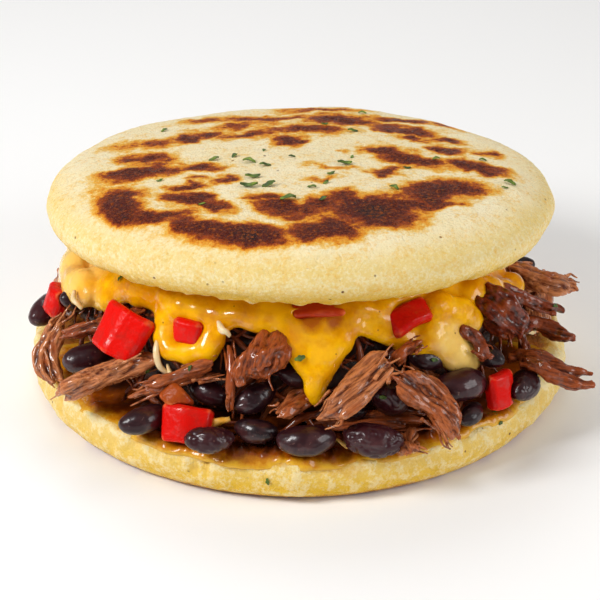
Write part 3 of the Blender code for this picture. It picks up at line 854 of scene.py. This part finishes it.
beef = {
    "fineness": 0.32 * mm,
    "strandWidth": 1.15,
    # radians from strand to strand, so that they fill the bundle evenly
    "strandTurn": 2.39996,
    "seed": 11,
    "groupSize": 8,
    # 0 is dark and wet, 1 is pale and dry
    "tones": {"beef_01": 0.8, "beef_02": 0.4, "beef_03": 0.85, "beef_04": 0.55, "beef_05": 0.6,
              "beef_06": 0.45, "beef_07": 0.4, "beef_08": 0.78, "beef_09": 0.58, "beef_14": 0.05,
              "beef_15": 0.15, "beef_16": 0.85, "beef_17": 0.22, "beef_18": 0.35, "beef_19": 0.2,
              "beef_13": 0.6, "beef_12": 0.6},
    "usualTone": 0.45,
    # more bundles round the sides and back: azimuth, level up the heap, which to copy, how steep in degrees
    "more": ((90, 0.1, 3, 20), (99, 0.3, 8, -20), (106, 0.15, 5, 10), (116, 0.45, 9, 35), (127, 0.1, 3, -15),
             (140, 0.5, 8, 20), (153, 0.2, 5, -30), (166, 0.6, 3, 10), (178, 0.15, 9, 25), (190, 0.5, 8, -25),
             (203, 0.2, 3, 15), (214, 0.6, 5, -10), (226, 0.15, 8, 30), (239, 0.5, 9, -20), (252, 0.2, 3, 10),
             (256, 0.3, 8, -35), (264, 0.0, 5, 20)),
    "looseCount": 300,
    "fringe": 7,
    "knobby": {"beef_14": 0.5, "beef_19": 0.5, "beef_06": 0.4, "beef_02": 0.35, "beef_15": 0.4,
               "beef_18": 0.4, "beef_16": 0.35, "beef_17": 0.35, "beef_01": 0.25},
}


def strandModel(name, sides, cuts):
    # a round rod cut into rings along its length, which each strand is a copy of
    bpy.ops.object.select_all(action="DESELECT")
    bpy.ops.mesh.primitive_cylinder_add(vertices=sides, radius=1, depth=1, location=(0, 0, 0.5),
                                        end_fill_type="TRIFAN")
    piece = nameIt(bpy.context.object, name)
    bpy.ops.object.transform_apply(location=True)
    bpy.ops.object.mode_set(mode="EDIT")
    bpy.ops.mesh.select_mode(type="EDGE")
    bpy.ops.mesh.select_all(action="DESELECT")
    bpy.ops.object.mode_set(mode="OBJECT")
    for edge in piece.data.edges:
        low, high = (piece.data.vertices[corner].co.z for corner in edge.vertices)
        edge.select = abs(low - high) > 0.5
    bpy.ops.object.mode_set(mode="EDIT")
    bpy.ops.mesh.subdivide(number_cuts=cuts)
    bpy.ops.mesh.select_mode(type="VERT")
    bpy.ops.object.mode_set(mode="OBJECT")
    return piece


def layStrand(model, line, radii, twist, wobble):
    # bends a copy of the rod along a line, with a radius for each point of the line
    piece = model.copy()
    piece.data = model.data.copy()
    bpy.context.scene.collection.objects.link(piece)
    rod = pointsOf(piece)
    ahead = np.gradient(line, axis=0)
    ahead /= np.linalg.norm(ahead, axis=1)[:, None]
    side = np.cross(ahead, (0.31, 0.17, 0.93))
    side /= np.linalg.norm(side, axis=1)[:, None]
    up = np.cross(side, ahead)
    share = np.clip(rod[:, 2], 0, 1) * (len(line) - 1)
    low = np.minimum(share.astype(int), len(line) - 2)
    part = (share - low)[:, None]

    def blend(values):
        return values[low] * (1 - part) + values[low + 1] * part

    angle = np.arctan2(rod[:, 1], rod[:, 0]) + twist * rod[:, 2]
    reach = np.hypot(rod[:, 0], rod[:, 1]) * blend(np.asarray(radii)[:, None])[:, 0]
    reach *= 1 + wobble * np.sin(angle * 3 + rod[:, 2] * 9)
    out = np.cos(angle)[:, None] * blend(side) + np.sin(angle)[:, None] * blend(up)
    setPoints(piece, blend(line) + out * reach[:, None])
    return piece


def curveThrough(first, between, last, share):
    share = np.asarray(share)[:, None]
    pull = between * 2 - (first + last) / 2
    return first * (1 - share) ** 2 + pull * 2 * share * (1 - share) + last * share**2


def spineOf(node):
    # the middle line of a bundle, its two crossways directions and half widths, read from its solid
    points = np.array([vertex.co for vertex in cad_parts[node].data.vertices])
    middle = points.mean(0)
    axes = np.linalg.svd(points - middle, full_matrices=False)[2]
    along = (points - middle) @ axes[0]
    share = (along - along.min()) / np.ptp(along)
    first, last = points[share < 0.07].mean(0), points[share > 0.93].mean(0)
    between = points[(share > 0.3) & (share < 0.7)].mean(0)
    off = points - curveThrough(first, between, last, share)
    wide, thick = (np.percentile(np.abs(off @ axis), 97) for axis in axes[1:])
    return {"first": first, "between": between, "last": last, "wideWay": axes[1], "thickWay": axes[2],
            "wide": max(wide, 1.4 * mm), "thick": max(thick, 1.1 * mm)}


def bundleStrands(spine, model, knobby, dice):
    width = min((beef["strandWidth"] + knobby * 0.9) * mm, 0.62 * spine["thick"])
    wide, thick = max(spine["wide"] - 0.8 * width, 0), max(spine["thick"] - 0.8 * width, 0)
    count = max(3, round(1.15 * spine["wide"] * spine["thick"] / width**2))
    steps = 24
    run = np.linspace(0, 1, steps)
    # the whole bundle bends to and fro, and is thinner towards its torn ends
    bend = np.sin(run * dice.uniform(4, 6.5) + dice.uniform(0, 6)) * 0.28 * spine["wide"]
    dip = np.sin(run * dice.uniform(4, 7) + dice.uniform(0, 6)) * 0.25 * spine["thick"]
    waist = 0.55 + 0.45 * np.sin(math.pi * np.clip(run * 0.9 + 0.05, 0, 1)) ** 0.6
    strands = []
    for number in range(count):
        ring = math.sqrt((number + 0.5) / count)
        angle = number * beef["strandTurn"] + dice.uniform(-0.4, 0.4)
        share = np.linspace(dice.uniform(-0.05, 0.2), dice.uniform(0.78, 1.05), steps)
        line = curveThrough(spine["first"], spine["between"], spine["last"], share)
        twist = (share - 0.5) * dice.uniform(-0.3, 1.1) + angle
        fan = waist * (1 + dice.uniform(-0.3, 0.3) * np.abs(share - 0.5) ** 2 * 4)
        wave = np.sin(share * dice.uniform(4, 11) + dice.uniform(0, 6)) * dice.uniform(0.15, 0.55) * mm
        line = line + (ring * wide * np.cos(twist) * fan + bend + wave)[:, None] * spine["wideWay"]
        line = line + (ring * thick * np.sin(twist) * fan + dip)[:, None] * spine["thickWay"]
        taper = np.clip(np.sin(math.pi * np.linspace(0.03, 0.97, steps)) * 1.9, 0.22 + knobby, 1)
        size = width * dice.choice((0.62, 0.8, 1.0, 1.3))
        strands.append(layStrand(model, line, size * taper, dice.uniform(-2.5, 2.5), 0.1))
    return strands


def fringeStrands(spine, model, tone, count, dice):
    # fine fibres that stand off the meat along its edges and at its torn ends
    strands = []
    run = np.linspace(0, 1, 12)
    for _ in range(count):
        away = dice.choice((-1, 1))
        share = 0.5 + away * np.linspace(dice.uniform(0, 0.3), dice.uniform(0.44, 0.56), len(run))
        line = curveThrough(spine["first"], spine["between"], spine["last"], share)
        angle = dice.uniform(0, 2 * math.pi)
        flare = 0.8 + 0.2 * run**2 * dice.random()
        curl = np.sin(run * dice.uniform(3, 7) + dice.uniform(0, 6)) * 0.6 * mm
        line = line + (spine["wide"] * math.cos(angle) * flare + curl)[:, None] * spine["wideWay"]
        line = line + (spine["thick"] * math.sin(angle) * flare)[:, None] * spine["thickWay"]
        radii = np.linspace(dice.uniform(0.25, 0.5), 0.14, len(run)) * mm
        piece = layStrand(model, line, radii, dice.uniform(-2, 2), 0.1)
        addFibre(piece, pointsOf(piece) * 0.3)
        addAttribute(piece, "tone", min(1, tone + dice.uniform(0, 0.25)))
        # a fixed hollowness below 0 gives these fibres the lighter ridge colour, a painted highlight
        addAttribute(piece, "hollow", -0.1)
        strands.append(piece)
    return strands


def cookedBundle(node, model, dice):
    spine = spineOf(node)
    knobby = beef["knobby"].get(node, 0.1)
    piece = joinPieces(bundleStrands(spine, model, knobby, dice), "cooked_" + node)
    remesh(piece, beef["fineness"], 1)
    points = pointsOf(piece)
    samples = curveThrough(spine["first"], spine["between"], spine["last"], np.linspace(-0.2, 1.2, 70))
    ahead = np.gradient(samples, axis=0)
    step = np.linalg.norm(ahead, axis=1)
    nearest = np.argmin(((points[:, None, :] - samples[None]) ** 2).sum(2), axis=1)
    off = points - samples[nearest]
    along = (off * ahead[nearest]).sum(1) / step[nearest]
    run = (np.cumsum(step)[nearest] + along) * 0.07
    fibre = np.stack([off @ spine["wideWay"], off @ spine["thickWay"], run], 1)
    lift = noiseAt(fibre, 0.95 * mm, 3, 2) * 0.34 * mm + noiseAt(points, 2.4 * mm, 5, 2) * knobby * mm
    setPoints(piece, points + normalsOf(piece) * lift[:, None])
    addFibre(piece, fibre)
    addAttribute(piece, "tone", beef["tones"].get(node, beef["usualTone"]))
    addAttribute(piece, "hollow", hollowness(piece, 6))
    return piece


def looseStrand(model, middle, way, bend, length, radius, dice):
    share = np.linspace(-1, 1, 24)
    line = np.array(middle) + np.outer(share * length / 2, way)
    line = line + np.outer(share**2 * dice.uniform(-1.6, 1.6) * mm, bend)
    line += np.outer(np.sin(share * dice.uniform(3, 8)) * 0.5 * mm, bend)
    line[:, 2] = np.clip(line[:, 2], 11.2 * mm, None)
    piece = layStrand(model, line, radius * np.clip(np.cos(share * 1.3), 0.3, 1), dice.uniform(-3, 3), 0.12)
    points = pointsOf(piece)
    shift = dice.uniform(0, 1)
    frameOf = np.array((bend, np.cross(bend, way), way))
    fibre = (points - line[len(line) // 2]) @ frameOf.T * (1, 1, 0.08) + shift
    addFibre(piece, fibre)
    addAttribute(piece, "tone", dice.uniform(0.05, 0.6))
    # a fixed hollowness below 0 gives this strand the lighter ridge colour, a painted highlight
    addAttribute(piece, "hollow", -0.05)
    return piece


def allBeef():
    dice = random.Random(beef["seed"])
    model = strandModel("strandModel", 8, 22)
    cooked = [cookedBundle(node, model, dice) for node in rangeOf("beef")]
    more = []
    for azimuth, level, which, steep in beef["more"]:
        spine = spineOf("beef_%02d" % which)
        run = Vector(spine["last"] - spine["first"])
        facing = math.degrees(math.atan2(run.y, run.x))
        lie = Matrix.Rotation(math.radians(steep), 3, roundPlace(azimuth, 1, 0))
        flat = Vector((1, 0, 0)).rotation_difference(run.normalized()).inverted().to_matrix()
        way = lie @ Matrix.Rotation(math.radians(azimuth), 3, "Z") @ flat
        more.append(placedCopy(cooked[which - 1], "moreBeef", way, heapPlace(dice, azimuth, level, 0.5), 0.9))
    thin = strandModel("thinModel", 6, 10)
    loose = []
    for node in rangeOf("beef"):
        count = 2 if beef["knobby"].get(node, 0) > 0.28 else beef["fringe"]
        tone = beef["tones"].get(node, beef["usualTone"])
        loose += fringeStrands(spineOf(node), thin, tone, count, dice)
    for number in range(beef["looseCount"]):
        azimuth = number * 360 / beef["looseCount"] + dice.uniform(-3, 3)
        front = math.exp(-((degreesFrom(azimuth, 0) / 65) ** 2))
        middle = heapPlace(dice, azimuth, dice.uniform(-0.1, 1), 2 + 3.5 * front)
        out = roundPlace(azimuth, 1, 0).normalized()
        across = Vector((0, 0, 1)).cross(out)
        spin = dice.uniform(-1.4, 1.4)
        way = across * math.cos(spin) + Vector((out.x * 0.4, out.y * 0.4, -0.9)) * math.sin(spin)
        bend = way.cross(out).normalized()
        loose.append(looseStrand(thin, middle, way.normalized(), bend, dice.uniform(8, 18) * mm,
                                 dice.uniform(0.35, 0.9) * mm, dice))
    for piece in (model, thin):
        bpy.data.objects.remove(piece)
    return cooked, more, loose


def beefFinish():
    material, tree, shader = newMaterial("shreddedBeef")
    tone = attributeOf(tree, "tone")
    lay = addNode(tree, "ShaderNodeAttribute", attribute_name="fibre").outputs["Vector"]
    place = objectPlace(tree)
    fibre = grain(tree, lay, 0.5 * mm, 3, 0.65)
    streak = grain(tree, lay, 1.5 * mm, 3, 0.6)
    patch = grain(tree, place, 4 * mm, 3, 0.6)
    dark = ramp(tree, tone, [(0.0, (0.028, 0.003, 0.001)), (0.5, (0.060, 0.008, 0.002)),
                             (1.0, (0.12, 0.022, 0.006))])
    light = ramp(tree, tone, [(0.0, (0.17, 0.018, 0.002)), (0.5, (0.38, 0.085, 0.020)),
                              (1.0, (0.68, 0.27, 0.105))])
    # the fibre grain is the meat's own; the hollowness part adds painted shade in furrows and painted
    # highlight on ridges
    grooves = calc(tree, "ADD", calc(tree, "MULTIPLY", fibre, 1.4), calc(tree, "MULTIPLY", streak, 0.7))
    height = calc(tree, "ADD", calc(tree, "MULTIPLY", attributeOf(tree, "hollow"), -1.1), grooves)
    colour = blendColours(tree, spread(tree, height, 0.8, 1.28), dark, light)
    colour = tint(tree, colour, patch, 0.52, 0.66, (0.34, 0.060, 0.005), 0.6)
    # painted shade: near black deep in the hollows
    colour = tint(tree, colour, attributeOf(tree, "hollow"), 0.1, 0.42, (0.030, 0.005, 0.002), 0.85)
    ridge = bump(tree, fibre, 0.34 * mm, 1.0)
    normal = bump(tree, grain(tree, place, 0.7 * mm, 2), 0.22 * mm, 0.7, ridge)
    moist = spread(tree, grain(tree, place, 1.8 * mm, 3, 0.6), 0.44, 0.54, 0, 1)
    rough = spread(tree, patch, 0.35, 0.65, 0.34, 0.5)
    dress(tree, shader, Base_Color=colour, Normal=normal, Roughness=rough, Coat_Weight=moist,
          Coat_Roughness=0.06, Specular_IOR_Level=0.14)
    return material


beefSkin = beefFinish()
cookedBeef, moreBeef, looseBeef = allBeef()
for number, name in enumerate(("leftBeef", "middleBeef", "rightBeef")):
    group = slice(number * beef["groupSize"], (number + 1) * beef["groupSize"])
    piece = joinPieces(cookedBeef[group], name)
    fillingPieces.append(finishPiece(piece, beefSkin, "beef_fibre", *rangeOf("beef")[group]))
half = len(moreBeef) // 2 + 1
for name, strips in (("rightHeapBeef", moreBeef[:half]), ("leftHeapBeef", moreBeef[half:]),
                     ("looseBeef", looseBeef)):
    finishPiece(joinPieces(strips, name), beefSkin, "beef_fibre")
print("beef ready")

core = {"inset": 2.4 * mm, "fineness": 0.9 * mm}


def heapCore():
    piece = copyNode("filling_bed", "heapCore")
    remesh(piece, core["fineness"], 6)
    points = pointsOf(piece)
    reach = reachOf(points)
    shrink = np.clip(1 - core["inset"] / np.maximum(reach, core["inset"] * 2), 0, 1)
    points[:, :2] *= shrink[:, None]
    setPoints(piece, points)
    roughen(piece, 4 * mm, 0.9 * mm, 71, 2)
    roughen(piece, 1.4 * mm, 0.3 * mm, 73, 1)
    return piece


def coreFinish():
    material, tree, shader = newMaterial("saucyFilling")
    place = objectPlace(tree)
    patch = grain(tree, place, 3 * mm, 4, 0.65)
    colour = ramp(tree, patch, [(0.35, (0.018, 0.005, 0.003)), (0.55, (0.07, 0.018, 0.007)),
                                (0.75, (0.16, 0.05, 0.015))])
    normal = bump(tree, grain(tree, place, 1.2 * mm, 3), 0.5 * mm, 0.8)
    dress(tree, shader, Base_Color=colour, Normal=normal, Roughness=spread(tree, patch, 0.3, 0.7, 0.25, 0.5))
    return material


finishPiece(heapCore(), coreFinish(), "filling", "filling_bed")
print("core ready")

juice = {
    "inner": 38,
    "outer": 57.3,
    "halfTurn": 80,
    "film": 0.2,
    "rise": 1.7,
}


def juicePool():
    # a thin film on the cut face that climbs up every bean and piece that stands in it
    feet = []
    for node in rangeOf("bean") + rangeOf("pepper") + rangeOf("beef"):
        low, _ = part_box(node)
        if low.z < 12.2 * mm:
            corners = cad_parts[node].data.vertices
            feet += [tuple(corner.co.xy / mm) for corner in corners if corner.co.z < low.z + 2 * mm]
    feet = np.array(feet)
    bpy.ops.object.select_all(action="DESELECT")
    bpy.ops.mesh.primitive_grid_add(x_subdivisions=320, y_subdivisions=36, size=2)
    piece = nameIt(bpy.context.object, "juicePool")
    points = pointsOf(piece)
    depth = []
    for number, (sideways, outward, _) in enumerate(points.copy()):
        angle = sideways * juice["halfTurn"]
        share = (1 - outward) / 2
        edge = juice["outer"] + 1.2 * noise.noise(Vector((angle / 9, 0.3, 0)))
        edge += 0.7 * noise.noise(Vector((angle / 3, 1.3, 0))) - 3.5 * abs(sideways) ** 3
        place = roundPlace(angle, juice["inner"] + (edge - juice["inner"]) * share, 0)
        _, ground, _, _ = lower.ray_cast(Vector((place.x, place.y, 30 * mm)), Vector((0, 0, -1)))
        away = np.hypot(feet[:, 0] - place.x / mm, feet[:, 1] - place.y / mm).min()
        lip = min(1, (1 - share) * 5) ** 0.8 * min(1, (1 - abs(sideways)) * 12)
        level = 0.6 * ground.z + 0.4 * 10.4 * mm
        film = (juice["film"] + juice["rise"] * math.exp(-away / 0.8)) * lip**0.5 - 0.3 * (1 - lip)
        surface = max(min(level, ground.z + 0.15 * mm), (8.4 + 1.2 * lip) * mm)
        points[number] = (place.x, place.y, surface + film * mm)
        depth.append(lip * (0.36 + 0.5 * (1 - share) + 0.8 * math.exp(-away / 1.2)))
    setPoints(piece, points)
    addAttribute(piece, "depth", depth)
    applyModifier(piece, "SOLIDIFY", thickness=1.2 * mm, offset=-1)
    selectOnly(piece)
    bpy.ops.object.mode_set(mode="EDIT")
    bpy.ops.mesh.select_all(action="SELECT")
    bpy.ops.mesh.normals_make_consistent(inside=False)
    bpy.ops.object.mode_set(mode="OBJECT")
    return piece


def juiceFinish():
    material, tree, shader = newMaterial("meatJuice")
    place = objectPlace(tree)
    cloud = swing(tree, grain(tree, place, 2.5 * mm, 4, 0.65), 0.7)
    depth = calc(tree, "ADD", attributeOf(tree, "depth"), cloud)
    colour = ramp(tree, depth, [(0.03, (0.74, 0.40, 0.02)), (0.24, (0.56, 0.20, 0.004)),
                                (0.48, (0.28, 0.055, 0.002)), (0.9, (0.06, 0.010, 0.002))])
    normal = bump(tree, grain(tree, place, 1.6 * mm, 2), 0.15 * mm, 0.5)
    dress(tree, shader, Base_Color=colour, Normal=normal, Roughness=spread(tree, depth, 0.2, 0.6, 0.28, 0.1),
          Coat_Weight=0.5, Coat_Roughness=0.03, Specular_IOR_Level=0.25)
    return material


finishPiece(juicePool(), juiceFinish(), "filling")
print("juice ready")

onion = {
    # places along each string as azimuth, reach and height in mm, then its radius and how golden it is
    "strings": ((((-36.5, 46.8, 27), (-34.8, 49.4, 23.6), (-31.8, 48.8, 20.4)), 0.65, 0.15),
                (((-33, 48.2, 22), (-29.6, 50, 20.8), (-26.4, 49, 21)), 0.5, 0.2),
                (((-20.4, 45.4, 33), (-18.6, 46.6, 32.4), (-16.9, 46.6, 31)), 0.7, 0.1),
                (((-66, 50.6, 28.4), (-64, 51.4, 27.2), (-61, 50.8, 26.4)), 0.6, 0.2),
                (((-21.4, 51.4, 12.2), (-19, 52.2, 13.8), (-15.3, 51.4, 15.4)), 0.85, 0.9),
                (((28.5, 52, 16), (30, 53.4, 14.4), (31, 53, 12.4)), 0.4, 0.3),
                (((62, 52, 20.5), (65, 53.6, 19.6), (69, 52.6, 19)), 0.4, 0.2),
                (((8, 53.4, 12.4), (10, 54.6, 11.6), (13, 54.4, 11.2)), 0.4, 0.7),
                (((104, 49, 22), (108, 51.5, 20), (113, 51, 17)), 0.45, 0.2),
                (((150, 49, 20), (154, 51.6, 18), (160, 51.4, 16)), 0.45, 0.4),
                (((204, 49.5, 17), (208, 52, 15.5), (214, 51, 14)), 0.45, 0.2),
                (((246, 49.5, 21), (251, 51.6, 19), (255, 51, 17)), 0.45, 0.3)),
}


def onionStrings():
    model = strandModel("onionModel", 8, 14)
    share = np.linspace(0, 1, 16)
    strings = []
    for number, (places, radius, golden) in enumerate(onion["strings"]):
        first, between, last = (np.array(roundPlace(*place)) for place in places)
        line = curveThrough(first, between, last, share)
        line[:, 2] += np.sin(share * 7 + number) * 0.3 * mm
        radii = radius * mm * (0.55 + 0.5 * np.sin(math.pi * share))
        piece = layStrand(model, line, radii, 2.5, 0.16)
        addAttribute(piece, "tone", golden)
        strings.append(piece)
    bpy.data.objects.remove(model)
    return joinPieces(strings, "onionStrings")


def onionFinish():
    material, tree, shader = newMaterial("cookedOnion")
    place = objectPlace(tree)
    cloud = swing(tree, grain(tree, place, 1.5 * mm, 3), 0.6)
    tone = calc(tree, "ADD", attributeOf(tree, "tone"), cloud)
    colour = ramp(tree, tone, [(0.0, (0.80, 0.66, 0.42)), (0.5, (0.78, 0.50, 0.16)),
                               (0.95, (0.72, 0.33, 0.03))])
    normal = bump(tree, grain(tree, place, 0.7 * mm, 2), 0.12 * mm, 0.6)
    dress(tree, shader, Base_Color=colour, Normal=normal, Roughness=0.25, Subsurface_Weight=0.1,
          Subsurface_Scale=1 * mm, Specular_IOR_Level=0.4)
    return material


finishPiece(onionStrings(), onionFinish(), "filling")
print("onion ready")

herbs = {
    # on the upper half: x, y in mm in its own frame, length in mm, turn in degrees
    "upper": ((-18.3, 1.7, 2.2, 20), (-14, 3.8, 1.8, 60), (-10.8, -0.4, 2.8, -20), (-7.4, -3.2, 2.4, 10),
              (-9.8, -11.3, 3.2, 15), (-10.5, -17.5, 3.6, -5), (-6.5, -16.8, 3, 30), (-2.5, -25, 3.2, 0),
              (-7.8, 7.4, 1.2, 80), (-1.8, 2.4, 1.4, 10), (9.3, -2.5, 3.2, 20), (6.3, -9.3, 1.8, 30),
              (5.2, -15.3, 1.6, 50), (2.3, -18, 2, -30), (19, -18, 2.4, -50), (43.2, -11.3, 2.6, -30),
              (41.9, -14.6, 1.4, 10), (22.3, -3.9, 1.6, 0), (10.9, 2.4, 1.2, 70), (4.5, -25, 1.8, 40),
              (28.7, 2.4, 1.6, 20), (38.6, 2.4, 1.6, 0), (11.5, 21.4, 2.2, 0), (5.4, 26.7, 1.6, 20),
              (-29, -12, 1.4, 30), (-19.7, -26.8, 1.4, 0), (-30, 24, 1.6, 40), (14, 38, 1.8, 0)),
    # on the lower half: azimuth, radius in mm, height in mm, length, turn
    "lower": ((46, 55, 10.4, 2.4, 20), (46, 57, 9.2, 1.2, 60), (-6, 57.6, 5.5, 1.4, 90), (120, 55, 10, 2, 0),
              (-150, 56, 9.6, 2, 40)),
    # on the filling: azimuth, height, length, turn
    "filling": ((0.3, 28, 2.2, 20), (-56.6, 33, 1.8, 50), (33, 24, 1.6, 10), (-38, 20, 1.5, 70),
                (18, 21, 1.5, 0), (-25, 24.5, 1.4, 30), (70, 24, 1.6, 40), (130, 21, 2, 10),
                (190, 18, 2, 60), (235, 19, 1.8, 20)),
}


def herbFlake(name, length, seed):
    bpy.ops.object.select_all(action="DESELECT")
    bpy.ops.mesh.primitive_grid_add(x_subdivisions=7, y_subdivisions=4, size=1)
    piece = nameIt(bpy.context.object, name)
    points = pointsOf(piece)
    along, across = points[:, 0] * 2, points[:, 1] * 2
    width = 0.5 * (1 - 0.75 * np.abs(along) ** 1.6) + 0.08 * np.sin(along * 7 + seed)
    points[:, 0] = along * 0.5 * length
    points[:, 1] = across * width * length * 0.55
    points[:, 2] = length * (0.10 * np.sin(along * 2.2 + seed) + 0.10 * np.abs(across) + 0.12)
    setPoints(piece, points * mm)
    applyModifier(piece, "SOLIDIFY", thickness=0.12 * mm, offset=0)
    return piece


def layFlake(piece, place, normal, turn):
    upright = Vector((0, 0, 1)).rotation_difference(normal).to_matrix()
    spin = np.array(upright @ Matrix.Rotation(math.radians(turn), 3, "Z"))
    setPoints(piece, pointsOf(piece) @ spin.T + np.array(place))


def herbPiece():
    flakes = []
    turn = Matrix.Rotation(cake["tilt"], 3, "X")
    for number, (x, y, length, spin) in enumerate(herbs["upper"]):
        above = turn @ Vector((x * mm, y * mm, 30 * mm)) + Vector(cake["upperPlace"])
        _, place, normal, _ = upper.ray_cast(above, turn @ Vector((0, 0, -1)))
        flake = herbFlake("flake", length, number)
        layFlake(flake, place, (normal + Vector((0, 0, 2))).normalized(), spin)
        flakes.append(flake)
    for number, (azimuth, reach, height, length, spin) in enumerate(herbs["lower"]):
        out = Vector((math.sin(math.radians(azimuth)), -math.cos(math.radians(azimuth)), 0))
        way = Vector((0, 0, -1)) if height > 8 else -out
        start = out * reach * mm + Vector((0, 0, height * mm)) - way * 8 * mm
        hit, place, normal, _ = lower.ray_cast(start, way)
        if hit:
            flake = herbFlake("flake", length, number + 50)
            layFlake(flake, place, normal, spin)
            flakes.append(flake)
    for number, (azimuth, height, length, spin) in enumerate(herbs["filling"]):
        start = roundPlace(azimuth, 75, height)
        way = roundPlace(azimuth, -1, 0).normalized()
        hits = [piece.ray_cast(start, way) for piece in fillingPieces]
        hits = [found for found in hits if found[0]]
        if hits:
            place, normal = min((found[1:3] for found in hits), key=lambda found: (found[0] - start).length)
            flake = herbFlake("flake", length, number + 90)
            layFlake(flake, place, normal, spin)
            flakes.append(flake)
    return joinPieces(flakes, "herbs")


def herbFinish():
    material, tree, shader = newMaterial("driedHerbs")
    tone = grain(tree, objectPlace(tree), 2 * mm, 2)
    colour = ramp(tree, tone, [(0.3, (0.015, 0.04, 0.003)), (0.5, (0.07, 0.13, 0.006)),
                               (0.7, (0.20, 0.28, 0.015))])
    normal = bump(tree, grain(tree, objectPlace(tree), 0.5 * mm, 2), 0.1 * mm, 0.6)
    dress(tree, shader, Base_Color=colour, Normal=normal, Roughness=0.5)
    return material


finishPiece(herbPiece(), herbFinish(), "corn_cake_upper")
print("herbs ready")
